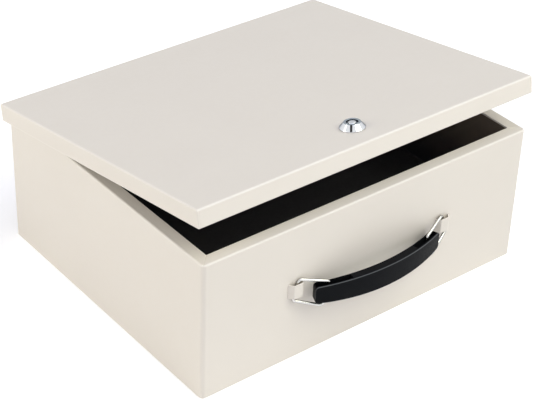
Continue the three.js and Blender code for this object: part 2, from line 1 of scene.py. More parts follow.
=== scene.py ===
# %% [markdown]
# # Fireproof document box
# The real thing is a double-walled steel box for papers. Its sheet parts are folded and
# powder coated in sand, a black tray lines the inside, and fire board fills the walls.
# The lid turns on a piano hinge at the back, and a lock with a round key sits in its top.
#
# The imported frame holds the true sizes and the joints. This lesson dresses it: every
# visible piece is made again with its folds, seams and finish, and rides on the frame.

# %% Load the frame
import json
from math import (
    asin, atan2, copysign, cos, degrees, hypot, pi, radians, sin, sqrt, tan,
)

import bpy
import bmesh
from mathutils import Matrix, Vector


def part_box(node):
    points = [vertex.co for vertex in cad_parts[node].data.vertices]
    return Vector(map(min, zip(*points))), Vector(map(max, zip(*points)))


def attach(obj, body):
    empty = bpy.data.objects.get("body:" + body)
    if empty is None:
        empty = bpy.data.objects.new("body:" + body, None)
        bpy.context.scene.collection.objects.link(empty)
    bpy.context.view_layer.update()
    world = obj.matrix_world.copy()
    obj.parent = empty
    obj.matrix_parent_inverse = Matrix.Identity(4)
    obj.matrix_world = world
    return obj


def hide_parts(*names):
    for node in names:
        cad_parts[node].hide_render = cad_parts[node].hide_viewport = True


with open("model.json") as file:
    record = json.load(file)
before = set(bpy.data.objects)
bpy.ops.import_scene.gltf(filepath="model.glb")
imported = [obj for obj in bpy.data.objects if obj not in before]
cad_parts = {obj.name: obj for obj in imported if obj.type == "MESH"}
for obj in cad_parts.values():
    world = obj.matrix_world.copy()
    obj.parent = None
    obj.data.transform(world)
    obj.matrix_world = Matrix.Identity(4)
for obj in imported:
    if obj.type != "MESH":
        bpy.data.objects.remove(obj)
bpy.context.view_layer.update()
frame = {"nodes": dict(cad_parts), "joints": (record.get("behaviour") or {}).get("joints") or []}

# %% [markdown]
# ## Measures
# Blender works in metres, but a sheet metal worker thinks in millimetres. So the sizes
# below are millimetres, and MM turns them into metres when a mesh is made. Whatever the
# frame knows is read from it, so that the dressed pieces land on the solids.

# %% Measures of the body
MM = 0.001


def box_mm(node):
    low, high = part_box(node)
    return low / MM, high / MM


shell_low, shell_high = box_mm("outer_shell")
SIDE = shell_high.x
FRONT = shell_low.y
BACK = shell_high.y
HEIGHT = shell_high.z
SHEET = 1.0
LINER_SHEET = 0.8
RIM = 12.7
CORNER = 4.4
LID_CORNER = 1.0
MOUTH = 0.8
FOLD = 1.8
SEAT = 0.2
RUNNING = 0.3
print("body", round(2 * SIDE, 1), "by", round(BACK - FRONT, 1), "by", round(HEIGHT, 1), "mm")

# %% [markdown]
# The lid stands ajar, so its box in the frame is a turned one. It is easier to draw every
# lid piece with the lid closed and then to turn it about the hinge pin, as the real lid
# is made flat on a bench. The hinge's place and angle come from the joint.

# %% Measures of the lid
joints = {joint["name"]: joint for joint in frame["joints"]}
HINGE = Vector(joints["lid_hinge"]["pos_m"]) / MM
AJAR = radians(joints["lid_hinge"]["range_deg"][0])
LID_SIDE = box_mm("lid_shell")[1].x
LID_LIFT = 2.4
LID_OVERHANG = 2.5
LID_PAST_HINGE = 4.1
SKIRT = 18
LID_TOP = HEIGHT + LID_LIFT
LID_FRONT = FRONT - LID_OVERHANG
LID_BACK = HINGE.y + LID_PAST_HINGE
SKIRT_LOW = LID_TOP - SKIRT
OPEN_LID = (
    Matrix.Translation(HINGE * MM) @ Matrix.Rotation(AJAR, 4, "X") @ Matrix.Translation(-HINGE * MM)
)
print("lid stands open by", round(-degrees(AJAR), 2), "degrees")

# %% [markdown]
# ## Camera
# The camera stands in front of the left corner and looks down on the lid. Its place, its
# turn and its long lens were fitted once to the corners of the real box, and then kept.

# %% Camera
CAMERA_PLACE = Vector((-859.33, -1059.99, 970.23))
CAMERA_AZIMUTH = radians(39.14)
CAMERA_DOWN = radians(33.95)
CAMERA_ROLL = radians(2.09)
CAMERA_LENS = 110.575
CAMERA_SENSOR = 36.0


def stand(thing):
    """Puts an object into the scene."""
    bpy.context.scene.collection.objects.link(thing)
    return thing


camera_data = bpy.data.cameras.new("camera")
camera_data.lens = CAMERA_LENS
camera_data.sensor_width = CAMERA_SENSOR
camera_data.sensor_fit = "HORIZONTAL"
camera = bpy.data.objects.new("camera", camera_data)
camera.matrix_world = (
    Matrix.Translation(CAMERA_PLACE * MM)
    @ Matrix.Rotation(-CAMERA_AZIMUTH, 4, "Z")
    @ Matrix.Rotation(pi / 2 - CAMERA_DOWN, 4, "X")
    @ Matrix.Rotation(CAMERA_ROLL, 4, "Z")
)
stand(camera)
bpy.context.scene.camera = camera
print("camera distance", round(CAMERA_PLACE.length), "mm")

# %% [markdown]
# ## Studio
# Sheet metal shows its shape by faint steps of tone between its faces. A soft white room
# would make all faces alike, so the room is lighter in front of the box than behind it,
# and two large lamps stand at the right front and at the left back. The upright corner
# between them gets less of both. The side lamps are a little warm and the one above is
# cool, so the lid looks more neutral than the walls.
# The floor and the room are white to the camera and to metal, through Light Path, while
# the floor keeps the shadow of the box. Floor and lamps are so large and so far away that
# their sizes are in metres.

# %% Small helpers for node trees
def node(tree, kind, **sockets):
    made = tree.nodes.new(kind)
    for name, value in sockets.items():
        made.inputs[name.replace("_", " ")].default_value = value
    return made


def wire_up(tree, *links):
    for start, end in links:
        tree.links.new(start, end)


def maths(tree, operation, first, second):
    """A sum of two values, each an output of a node or a plain number."""
    made = node(tree, "ShaderNodeMath")
    made.operation = operation
    for socket, value in ((made.inputs[0], first), (made.inputs[1], second)):
        if isinstance(value, bpy.types.NodeSocket):
            tree.links.new(value, socket)
        else:
            socket.default_value = value
    return made.outputs[0]


def seen_directly(tree):
    path = node(tree, "ShaderNodeLightPath")
    share = path.outputs["Is Camera Ray"]
    for ray in ("Is Glossy Ray", "Is Transmission Ray"):
        share = maths(tree, "MAXIMUM", share, path.outputs[ray])
    return share


# %% World
ROOM_FRONT = 0.92
ROOM_BEHIND = 0.04
ROOM_BLEND = 0.3
ROOM_COLOUR = (0.95, 0.945, 1.0, 1)

world = bpy.data.worlds.new("studio")
bpy.context.scene.world = world
world.use_nodes = True
tree = world.node_tree
tree.nodes.clear()
lighting = node(tree, "ShaderNodeBackground", Color=ROOM_COLOUR)
way = node(tree, "ShaderNodeTexCoord")
frontness = node(tree, "ShaderNodeVectorMath")
frontness.operation = "DOT_PRODUCT"
frontness.inputs[1].default_value = (0, -1, 0)
level = node(
    tree, "ShaderNodeMapRange",
    From_Min=-ROOM_BLEND, From_Max=ROOM_BLEND, To_Min=ROOM_BEHIND, To_Max=ROOM_FRONT,
)
level.interpolation_type = "SMOOTHSTEP"
backdrop = node(tree, "ShaderNodeBackground", Color=(1, 1, 1, 1), Strength=1.0)
either = node(tree, "ShaderNodeMixShader")
output = node(tree, "ShaderNodeOutputWorld")
wire_up(
    tree,
    (way.outputs["Generated"], frontness.inputs[0]),
    (frontness.outputs["Value"], level.inputs["Value"]),
    (level.outputs[0], lighting.inputs["Strength"]),
    (seen_directly(tree), either.inputs[0]),
    (lighting.outputs[0], either.inputs[1]),
    (backdrop.outputs[0], either.inputs[2]),
    (either.outputs[0], output.inputs["Surface"]),
)
print("room", ROOM_FRONT, "in front and", ROOM_BEHIND, "behind")

# %% Floor
FLOOR_HALF = 4.0
FLOOR_DROP = 0.0001
FLOOR_COLOUR = (0.8, 0.8, 0.8, 1)
FLOOR_LIFT = 0.42

floor_mesh = bpy.data.meshes.new("floor")
floor_corners = [(x, y, -FLOOR_DROP) for x, y in ((-1, -1), (1, -1), (1, 1), (-1, 1))]
floor_mesh.from_pydata(
    [(x * FLOOR_HALF, y * FLOOR_HALF, z) for x, y, z in floor_corners], [], [(0, 1, 2, 3)]
)
floor = stand(bpy.data.objects.new("floor", floor_mesh))
paper = bpy.data.materials.new("floor_paper")
paper.use_nodes = True
tree = paper.node_tree
tree.nodes.clear()
matt = node(tree, "ShaderNodeBsdfDiffuse", Color=FLOOR_COLOUR)
glow = node(tree, "ShaderNodeEmission", Color=(1, 1, 1, 1))
lift = maths(tree, "MULTIPLY", seen_directly(tree), FLOOR_LIFT)
total = node(tree, "ShaderNodeAddShader")
output = node(tree, "ShaderNodeOutputMaterial")
wire_up(
    tree,
    (lift, glow.inputs["Strength"]),
    (matt.outputs[0], total.inputs[0]),
    (glow.outputs[0], total.inputs[1]),
    (total.outputs[0], output.inputs["Surface"]),
)
floor_mesh.materials.append(paper)
print("floor", 2 * FLOOR_HALF, "metres wide")

# %% Lamps
LAMP_REACH = 2.6
LAMP_SIZE = 1.5
LAMPS = {
    "lamp_right_front": ((0.38, -0.52, 0.76), 24.5, (0.985, 1.0, 0.815)),
    "lamp_left_back": ((-0.85, 0.35, 0.40), 29.5, (1.0, 0.960, 0.840)),
    "lamp_above": ((0.0, 0.0, 1.0), 13.5, (0.590, 0.640, 1.0)),
}
for name, (direction, power, colour) in LAMPS.items():
    lamp_data = bpy.data.lights.new(name, "AREA")
    lamp_data.energy = power
    lamp_data.size = LAMP_SIZE
    lamp_data.color = colour
    lamp = stand(bpy.data.objects.new(name, lamp_data))
    towards = Vector(direction).normalized()
    lamp.location = towards * LAMP_REACH
    lamp.rotation_euler = towards.to_track_quat("Z", "Y").to_euler()
print("lamps", len(LAMPS))

bpy.context.scene.view_settings.view_transform = "Standard"

# %% [markdown]
# ## Finishes
# Every finish is mixed from noise in the piece's own space, so that it sticks to the
# piece when a joint moves, and has the same grain on a small rivet and on the lid.
# Small helpers do the work: one makes noise of a given grain size, one spreads it over a
# range, and others turn it into a mix of two colours, uneven gloss or relief.

# %% Helpers for finishes
def inlet(finish, name):
    return finish.node_tree.nodes["Principled BSDF"].inputs[name]


def new_finish(name, colour, roughness, metallic=0.0):
    finish = bpy.data.materials.new(name)
    finish.use_nodes = True
    inlet(finish, "Base Color").default_value = (*colour, 1)
    inlet(finish, "Roughness").default_value = roughness
    inlet(finish, "Metallic").default_value = metallic
    print("finish", name)
    return finish


def grain(finish, size, detail=2.0, stretch=(1, 1, 1)):
    tree = finish.node_tree
    place = node(tree, "ShaderNodeTexCoord")
    pull = node(tree, "ShaderNodeMapping", Scale=[1 / share for share in stretch])
    noise = node(tree, "ShaderNodeTexNoise", Scale=1 / (size * MM), Detail=detail)
    tree.links.new(place.outputs["Object"], pull.inputs["Vector"])
    tree.links.new(pull.outputs[0], noise.inputs["Vector"])
    return noise.outputs[0]


def spread(finish, value, low, high, start=0.3, end=0.7):
    tree = finish.node_tree
    made = node(
        tree, "ShaderNodeMapRange", From_Min=start, From_Max=end, To_Min=low, To_Max=high
    )
    tree.links.new(value, made.inputs["Value"])
    return made.outputs[0]


def tinted(finish, share, first, second):
    tree = finish.node_tree
    mix = tree.nodes.new("ShaderNodeMix")
    mix.data_type = "RGBA"
    tree.links.new(share, mix.inputs[0])
    for socket, colour in ((mix.inputs[6], first), (mix.inputs[7], second)):
        if isinstance(colour, bpy.types.NodeSocket):
            tree.links.new(colour, socket)
        else:
            socket.default_value = (*colour, 1)
    return mix.outputs[2]


def coloured(finish, share, first, second):
    wire_up(finish.node_tree, (tinted(finish, share, first, second), inlet(finish, "Base Color")))


def uneven(finish, size, detail, low, high):
    """Lets the roughness wander between low and high."""
    wander = spread(finish, grain(finish, size, detail), low, high)
    wire_up(finish.node_tree, (wander, inlet(finish, "Roughness")))


def painted_highlight_mask(finish):
    mark = node(finish.node_tree, "ShaderNodeAttribute")
    mark.attribute_name = "fold"
    return mark.outputs["Fac"]


def relief(finish, height, depth):
    """Adds a bump on top of the bumps that the finish already has."""
    tree = finish.node_tree
    bump = node(tree, "ShaderNodeBump", Strength=1.0, Distance=depth * MM)
    normal = inlet(finish, "Normal")
    if normal.is_linked:
        tree.links.new(normal.links[0].from_socket, bump.inputs["Normal"])
    wire_up(tree, (height, bump.inputs["Height"]), (bump.outputs[0], normal))


# %% [markdown]
# ### Sand powder coat
# Powder melts into a satin skin with a fine orange peel. Its sharp bends are painted a
# little lighter, a painted highlight where the folds catch the lamps. The bends are known
# when a sheet is folded, so each mesh carries them as an attribute named fold, and the
# paint reads it. That costs nothing in the render, while a bevel shader costs a lot.

# %% Sand powder coat
SAND = (0.775, 0.728, 0.655)
SAND_DEEP = (0.764, 0.716, 0.644)
# The lighter sand of the bends is a painted highlight.
SAND_PAINTED_HIGHLIGHT = (0.82, 0.778, 0.71)

sand_coat = new_finish("sand_coat", SAND, 0.45)
inlet(sand_coat, "Specular IOR Level").default_value = 0.4
inlet(sand_coat, "Coat Weight").default_value = 0.12
inlet(sand_coat, "Coat Roughness").default_value = 0.25
clouds = spread(sand_coat, grain(sand_coat, 90, 3.0), 0.0, 1.0)
cloudy = tinted(sand_coat, clouds, SAND, SAND_DEEP)
# Painted highlight: the marked bends and edges are mixed towards the lighter sand.
coloured(sand_coat, painted_highlight_mask(sand_coat), cloudy, SAND_PAINTED_HIGHLIGHT)
uneven(sand_coat, 6, 2.0, 0.40, 0.52)
relief(sand_coat, grain(sand_coat, 1.6, 1.5), 0.02)
relief(sand_coat, grain(sand_coat, 60, 1.0), 0.03)

# %% [markdown]
# ### Black coat of the liner
# The tray is sprayed black and matt, so that papers don't shine in it. Towards the mouth
# the coat is painted an uneven warm grey: a painted light that stands for the warm light
# falling in past the lid.

# %% Black coat
BLACK = (0.056, 0.055, 0.060)
# The warm grey towards the mouth is painted light.
BLACK_PAINTED_LIGHT = (0.20, 0.162, 0.128)
PAINTED_LIGHT_LOW = 60
PAINTED_LIGHT_HIGH = 142

black_coat = new_finish("black_coat", BLACK, 0.6)
inlet(black_coat, "Specular IOR Level").default_value = 0.22
tree = black_coat.node_tree
place = node(tree, "ShaderNodeTexCoord")
height = node(tree, "ShaderNodeSeparateXYZ")
near_mouth = node(tree, "ShaderNodeMapRange", From_Min=PAINTED_LIGHT_LOW * MM, From_Max=PAINTED_LIGHT_HIGH * MM)
tree.links.new(place.outputs["Object"], height.inputs[0])
tree.links.new(height.outputs["Z"], near_mouth.inputs["Value"])
patchy = spread(black_coat, grain(black_coat, 35, 4.0), 0.8, 1.3)
# Painted light: lighter towards the mouth, and uneven.
painted_light_share = maths(tree, "MULTIPLY", near_mouth.outputs[0], patchy)
coloured(black_coat, painted_light_share, BLACK, BLACK_PAINTED_LIGHT)
uneven(black_coat, 3, 2.0, 0.52, 0.7)
relief(black_coat, grain(black_coat, 0.9, 1.5), 0.015)

# %% [markdown]
# ### Fire board
# Ceramic fibre board is pressed felt: short fibres lie flat in it, in every direction.
# Two noises stretched across each other give the crossed fibres.

# %% Fire board
BOARD = (0.50, 0.46, 0.39)
BOARD_PALE = (0.62, 0.58, 0.51)

fire_board = new_finish("fire_board", BOARD, 0.95)
fibres_x = grain(fire_board, 0.8, 3.0, (9, 1, 1))
fibres_y = grain(fire_board, 0.8, 3.0, (1, 9, 1))
crossed = maths(fire_board.node_tree, "ADD", fibres_x, fibres_y)
pale = spread(fire_board, crossed, 0.0, 1.0, 0.8, 1.2)
coloured(fire_board, pale, BOARD, BOARD_PALE)
relief(fire_board, crossed, 0.2)

# %% [markdown]
# ### Zinc, chrome and black plastic
# Zinc plate on the hinge and the lock's small parts is brushed along X, with cloudy
# spangle. Chrome is smooth, and only wiping marks break its shine. Its dark edge tint is a
# painted reflection of dark surroundings at grazing angles. On the lock's flat face, where
# the polishing wheel doesn't reach and the key rubs, the chrome is dull, and its grey-blue
# colour is a painted shade. The wire of the bails is plated as drawn, so it is a little
# less bright, and its edge tint is a painted dark reflection too. The grip is moulded in a
# tool with a spark-eroded face, which leaves a very fine leather of pits, and its front
# edges are painted lighter, a painted highlight.

# %% Zinc plate
ZINC = (0.56, 0.57, 0.58)
ZINC_DULL = (0.40, 0.41, 0.42)

zinc_plate = new_finish("zinc_plate", ZINC, 0.34, 1.0)
spangle = spread(zinc_plate, grain(zinc_plate, 5, 3.0), 0.0, 1.0)
coloured(zinc_plate, spangle, ZINC, ZINC_DULL)
brushed = grain(zinc_plate, 0.25, 2.0, (30, 1, 1))
streaks = spread(zinc_plate, brushed, 0.26, 0.44)
wire_up(zinc_plate.node_tree, (streaks, inlet(zinc_plate, "Roughness")))
relief(zinc_plate, brushed, 0.006)

# %% Chrome plate
CHROME = (0.76, 0.78, 0.81)
# A dark edge tint: a painted reflection of dark surroundings.
CHROME_PAINTED_DARK_EDGE = (0.22, 0.24, 0.27)
# Grey-blue for the lock's flat top: a painted shade on dull chrome.
CHROME_PAINTED_SHADE = (0.27, 0.31, 0.35)

chrome_plate = new_finish("chrome_plate", CHROME, 0.08, 1.0)
inlet(chrome_plate, "Specular Tint").default_value = (*CHROME_PAINTED_DARK_EDGE, 1)
uneven(chrome_plate, 4, 3.0, 0.05, 0.14)
relief(chrome_plate, grain(chrome_plate, 1.2, 1.0), 0.0015)

dull_chrome_painted_shade = new_finish("dull_chrome_painted_shade", CHROME_PAINTED_SHADE, 0.3, 1.0)
uneven(dull_chrome_painted_shade, 1.5, 3.0, 0.24, 0.4)
relief(dull_chrome_painted_shade, grain(dull_chrome_painted_shade, 0.4, 2.0), 0.004)

# %% Plated wire
WIRE = (0.63, 0.625, 0.61)
# A dark edge tint: a painted reflection of dark surroundings.
WIRE_PAINTED_DARK_EDGE = (0.04, 0.04, 0.045)

wire_plate = new_finish("wire_plate", WIRE, 0.12, 1.0)
inlet(wire_plate, "Specular Tint").default_value = (*WIRE_PAINTED_DARK_EDGE, 1)
uneven(wire_plate, 1.0, 2.0, 0.08, 0.18)
relief(wire_plate, grain(wire_plate, 1.0, 2.0), 0.002)

# %% Black plastic
PLASTIC = (0.0050, 0.0057, 0.0070)
PLASTIC_WORN = (0.0070, 0.0076, 0.0086)
# Lighter black for the front edges of the grip: a painted highlight.
PLASTIC_PAINTED_HIGHLIGHT = (0.095, 0.1, 0.105)

grip_plastic = new_finish("grip_plastic", PLASTIC, 0.42)
inlet(grip_plastic, "Specular IOR Level").default_value = 0.04
wear_and_highlight = spread(grip_plastic, grain(grip_plastic, 14, 3.0), 0.0, 1.0, 0.45, 0.75)
skin = tinted(grip_plastic, wear_and_highlight, PLASTIC, PLASTIC_WORN)
# Painted highlight on the grip's front edges, from the marks made with its sections.
coloured(grip_plastic, painted_highlight_mask(grip_plastic), skin, PLASTIC_PAINTED_HIGHLIGHT)
uneven(grip_plastic, 2, 2.0, 0.36, 0.52)
relief(grip_plastic, grain(grip_plastic, 0.35, 1.0), 0.012)

# %% Black fill of the lock's mark
FILL = (0.008, 0.008, 0.009)

mark_fill = new_finish("mark_fill", FILL, 0.5)
uneven(mark_fill, 0.6, 2.0, 0.4, 0.6)
relief(mark_fill, grain(mark_fill, 0.5), 0.01)

FINISHES = {
    "sand_coat": sand_coat,
    "black_liner": black_coat,
    "insulation_board": fire_board,
    "zinc_steel": zinc_plate,
    "chrome_plate": chrome_plate,
    "black_plastic": grip_plastic,
}
print("slots with a finish", sorted(FINISHES))

# %% [markdown]
# ## Ways to make a piece
# Five helpers cover almost all of this box, and each copies a way that metal is worked:
# a folded pan, a bent strip, a turned part, a drawn wire and a cut. The first four start
# from a path with rounded corners, because no bend in sheet or wire is sharp.
#
# A path could be a Bezier curve, but then the bend's radius would be hard to read. Here
# each corner is replaced by a true arc, and the middle of the arc is marked as bent.

# %% A path with rounded corners
def rounded(corners, radii, steps=6, closed=False):
    """Points, directions and bend marks of a flat path with round corners."""
    count = len(corners)
    path = []
    for i in range(count):
        here = Vector(corners[i])
        before = (here - Vector(corners[i - 1])).normalized()
        after = (Vector(corners[(i + 1) % count]) - here).normalized()
        if not closed and i == 0:
            path.append((here, after, 0.0))
            continue
        if not closed and i == count - 1:
            path.append((here, before, 0.0))
            continue
        turn = atan2(before.x * after.y - before.y * after.x, before.dot(after))
        start = here - before * radii[i] * tan(abs(turn) / 2)
        inward = Vector((-before.y, before.x)) * copysign(1, turn)
        centre = start + inward * radii[i]
        for step in range(steps + 1 if radii[i] > 0 else 1):
            swing = Matrix.Rotation(turn * step / steps, 2)
            point = centre + swing @ (start - centre)
            path.append((point, swing @ before, sqrt(sin(pi * step / steps))))
    return path


def round_points(corners, radii, **more):
    return [point for point, _, _ in rounded(corners, radii, **more)]


# %% [markdown]
# from_pydata is the plainest way from points to a mesh. bmesh then turns all faces
# outwards. Smooth shading with sharp edges kept, plus weighted normals, makes large
# sheets look flat right up to their round folds.

# %% A new piece from points and faces
SHARP = radians(38)


def new_piece(name, points, faces, folds=None):
    mesh = bpy.data.meshes.new(name)
    mesh.from_pydata([Vector(point) * MM for point in points], [], faces)
    made = bmesh.new()
    made.from_mesh(mesh)
    bmesh.ops.recalc_face_normals(made, faces=made.faces)
    made.to_mesh(mesh)
    made.free()
    mark = mesh.attributes.new("fold", "FLOAT", "POINT")
    if folds:
        mark.data.foreach_set("value", folds)
    return stand(bpy.data.objects.new(name, mesh))


def settle(piece):
    """Applies the piece's modifiers to its mesh."""
    bpy.context.view_layer.update()
    ready = piece.evaluated_get(bpy.context.evaluated_depsgraph_get())
    old = piece.data
    piece.data = bpy.data.meshes.new_from_object(ready)
    piece.modifiers.clear()
    bpy.data.meshes.remove(old)


def smooth_faces(piece):
    piece.data.shade_smooth()
    piece.data.set_sharp_from_angle(angle=SHARP)
    weighted = piece.modifiers.new("weighted", "WEIGHTED_NORMAL")
    weighted.keep_sharp = True


# %% Edges, cuts and joins
def break_edges(piece, width, steps=2, angle=45):
    bevel = piece.modifiers.new("edges", "BEVEL")
    bevel.width = width * MM
    bevel.segments = steps
    bevel.limit_method = "ANGLE"
    bevel.angle_limit = radians(angle)
    settle(piece)


def work(piece, tools, operation="DIFFERENCE"):
    """Cuts the tools out of the piece, or joins them to it."""
    for tool in tools:
        boolean = piece.modifiers.new("tool", "BOOLEAN")
        boolean.operation = operation
        boolean.solver = "EXACT"
        boolean.object = tool
        settle(piece)
        bpy.data.objects.remove(tool)


def block(name, low, high):
    (x0, y0, z0), (x1, y1, z1) = low, high
    corners = [(x, y, z) for x in (x0, x1) for y in (y0, y1) for z in (z0, z1)]
    faces = [(0, 1, 3, 2), (4, 6, 7, 5), (0, 4, 5, 1), (2, 3, 7, 6), (0, 2, 6, 4), (1, 5, 7, 3)]
    return new_piece(name, corners, faces)


# %% Prisms, turned parts and rods
TOUCH = 1e-6


def prism(name, outline, low, high, axis="Z"):
    """A flat outline pushed along an axis; along X it is drawn in Y and Z."""
    count = len(outline)
    order = {"Z": lambda u, v, w: (u, v, w), "X": lambda u, v, w: (w, u, v)}[axis]
    points = [order(u, v, w) for w in (low, high) for u, v in outline]
    faces = [tuple(range(count)), tuple(range(count, 2 * count))]
    for i in range(count):
        j = (i + 1) % count
        faces.append((i, j, count + j, count + i))
    return new_piece(name, points, faces)


def polar(radius, angle):
    return radius * cos(angle), radius * sin(angle)


def turned(name, profile, sides=48, closed=False):
    """A part turned about Z from its profile of radius and height."""
    points = []
    rows = []
    for radius, height in profile:
        if radius < TOUCH:
            rows.append([len(points)] * sides)
            points.append((0, 0, height))
            continue
        rows.append(list(range(len(points), len(points) + sides)))
        for side in range(sides):
            points.append((*polar(radius, 2 * pi * side / sides), height))
    faces = []
    pairs = list(zip(rows, rows[1:])) + ([(rows[-1], rows[0])] if closed else [])
    for below, above in pairs:
        for i in range(sides):
            j = (i + 1) % sides
            face = (below[i], below[j], above[j], above[i])
            faces.append(tuple(dict.fromkeys(face)))
    return new_piece(name, points, [face for face in faces if len(face) > 2])


def shift(piece, x=0.0, y=0.0, z=0.0, turn=None):
    """Turns the mesh about its own axes and moves it, in millimetres."""
    move = Matrix.Translation(Vector((x, y, z)) * MM)
    piece.data.transform(move @ turn if turn else move)
    return piece


LIE_ALONG_X = Matrix.Rotation(pi / 2, 4, "Y")
FACE_BACK = Matrix.Rotation(-pi / 2, 4, "X")


def rod(name, radius, low, high, sides=24):
    return turned(name, [(0, low), (radius, low), (radius, high), (0, high)], sides)


# %% [markdown]
# One more helper hands each piece over: it opens what sits in the lid, gives the piece its
# finish and its shading, hangs it on an empty for the body it rides on, and hides the
# solids that it stands for.

# %% Handing a piece over
def hand_over(piece, body, slot, *nodes):
    if body in ("lid", "lock_rotor"):
        piece.data.transform(OPEN_LID)
    if not piece.data.materials:
        piece.data.materials.append(FINISHES[slot])
    smooth_faces(piece)
    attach(piece, body)
    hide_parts(*nodes)
    print(piece.name, "has", len(piece.data.polygons), "faces and rides on", body)


# %% [markdown]
# ## Folded sheets
# Body, tray, lid and pan are all one idea: a sheet folded round a rectangle with round
# upright corners. The section of the folds is drawn once, as inset from the rectangle
# and height, and swept round it. Where the sheet is closed by a flat face, as the lid
# is, the ends of the section are capped; the body's section closes on itself.

# %% Sweep a folded section round a rectangle
def ring(rectangle, inset, height, radius, steps=8):
    x0, x1, y0, y1 = rectangle
    reach = inset + radius
    centres = (
        (x1 - reach, y0 + reach), (x1 - reach, y1 - reach),
        (x0 + reach, y1 - reach), (x0 + reach, y0 + reach),
    )
    points = []
    for quarter, (x, y) in enumerate(centres):
        for step in range(steps + 1):
            dx, dy = polar(radius, pi / 2 * (quarter - 1 + step / steps))
            points.append((x + dx, y + dy, height))
    return points


def bands(rows, count, closed=False):
    """Faces that join rows of points; the first and last row are joined or capped."""
    faces = []
    for row in range(rows if closed else rows - 1):
        lower = row * count
        upper = (row + 1) % rows * count
        for i in range(count):
            j = (i + 1) % count
            faces.append((lower + i, lower + j, upper + j, upper + i))
    if not closed:
        faces.append(tuple(range(count)))
        faces.append(tuple(range((rows - 1) * count, rows * count)))
    return faces


def folded(name, rectangle, section, radius_at, closed=False):
    points = []
    folds = []
    for place, _, bend in section:
        loop = ring(rectangle, place.x, place.y, radius_at(place.x))
        points += loop
        folds += [bend] * len(loop)
    return new_piece(name, points, bands(len(section), len(loop), closed), folds)


# %% [markdown]
# ## Body shell
# One sheet makes the four walls. Their top edges turn in to form the rim, half an inch
# wide, and end in a short lip round the mouth. At the four corners the flanges meet in
# mitres, which are dressed down after welding and stay visible as shallow grooves.

# %% Body shell
LIP_DROP = 2.0
LIP_FOLD = 0.6
# The band over which the painted highlight of an edge fades out.
HIGHLIGHT_FADE = 1.6
CUT_EDGE = 0.3
INNER_BEND = 0.6
BAND_PLAY = 0.1
GROOVE_WIDTH = 1.6
GROOVE_DEPTH = 0.4
BODY_RECTANGLE = (-SIDE, SIDE, FRONT, BACK)


def full_painted_highlight(section, edge, reach):
    """Gives the points of a section near an edge a full painted highlight."""
    return [
        (place, way, 1.0 if (place - Vector(edge)).length < reach else bend)
        for place, way, bend in section
    ]


def body_radius(inset):
    if inset < RIM / 2:
        return CORNER - inset
    return MOUTH + RIM - inset


section = rounded(
    [
        (0, 0), (0, HEIGHT), (RIM - HIGHLIGHT_FADE, HEIGHT), (RIM, HEIGHT), (RIM, HEIGHT - LIP_DROP),
        (RIM - SHEET, HEIGHT - LIP_DROP), (RIM - SHEET, HEIGHT - SHEET),
        (SHEET, HEIGHT - SHEET), (SHEET, 0),
    ],
    [0.4, FOLD, 0, LIP_FOLD, CUT_EDGE, CUT_EDGE, 0, INNER_BEND, CUT_EDGE],
    closed=True,
)
# The lip round the mouth gets a full painted highlight.
section = full_painted_highlight(section, (RIM, HEIGHT), LIP_FOLD + BAND_PLAY)
shell = folded("shell_sheet", BODY_RECTANGLE, section, body_radius, closed=True)


def mitre_groove(x_hand, y_hand):
    half = GROOVE_WIDTH / 2
    over = 0.01
    outline = [(-half, over), (half, over), (0, -GROOVE_DEPTH)]
    vee = prism("groove", outline, -RIM, RIM, axis="X")
    reach = RIM / 2
    heading = atan2(y_hand, x_hand)
    return shift(
        vee, x_hand * (SIDE - reach), y_hand * (BACK - reach), HEIGHT,
        Matrix.Rotation(heading, 4, "Z"),
    )


work(shell, [mitre_groove(x, y) for x in (-1, 1) for y in (-1, 1)])
print("mitre grooves in the rim", 4)

# %% [markdown]
# The clips go through slots in the front wall, and the hinge is riveted to the back wall.
# The slots are cut where the frame has the clips, and the rivet holes where it has the
# rivets. The hinge's strips get holes in the same places, and the lid's are a little
# higher.

# %% Slots and rivet holes
OVERRUN = 1.5
CLIP_SLOT = 1.7
RIVET_RADIUS = 1.6
CLIP_FOOT = 5.0


def middle_of(name):
    first, last = box_mm(name)
    return (first + last) / 2


def rivet_holes(radius, low, high, places):
    return [shift(rod("hole", radius, low, high), x, 0, z, FACE_BACK) for x, z in places]


slots = []
for name in ("handle_clip_left", "handle_clip_right"):
    first, last = box_mm(name)
    for inner in (first.x + CLIP_FOOT - SEAT, last.x - CLIP_FOOT + SEAT - CLIP_SLOT):
        slots.append(block(
            "slot", (inner, FRONT - OVERRUN, first.z - SEAT),
            (inner + CLIP_SLOT, FRONT + SHEET + OVERRUN, last.z + SEAT),
        ))
rivets = [middle_of(f"hinge_rivet_body_{i}") for i in range(1, 5)]
body_places = [(middle.x, middle.z) for middle in rivets]
holes = rivet_holes(RIVET_RADIUS + SEAT, BACK - SHEET - OVERRUN, BACK + OVERRUN, body_places)
work(shell, slots + holes)
hand_over(shell, "root", "sand_coat", "outer_shell")

# %% [markdown]
# ## Bottom and tray
# The bottom is a shallow tray welded between the walls. The black tray inside has its
# floor well above the bottom, because the fire board under it is the thickest.

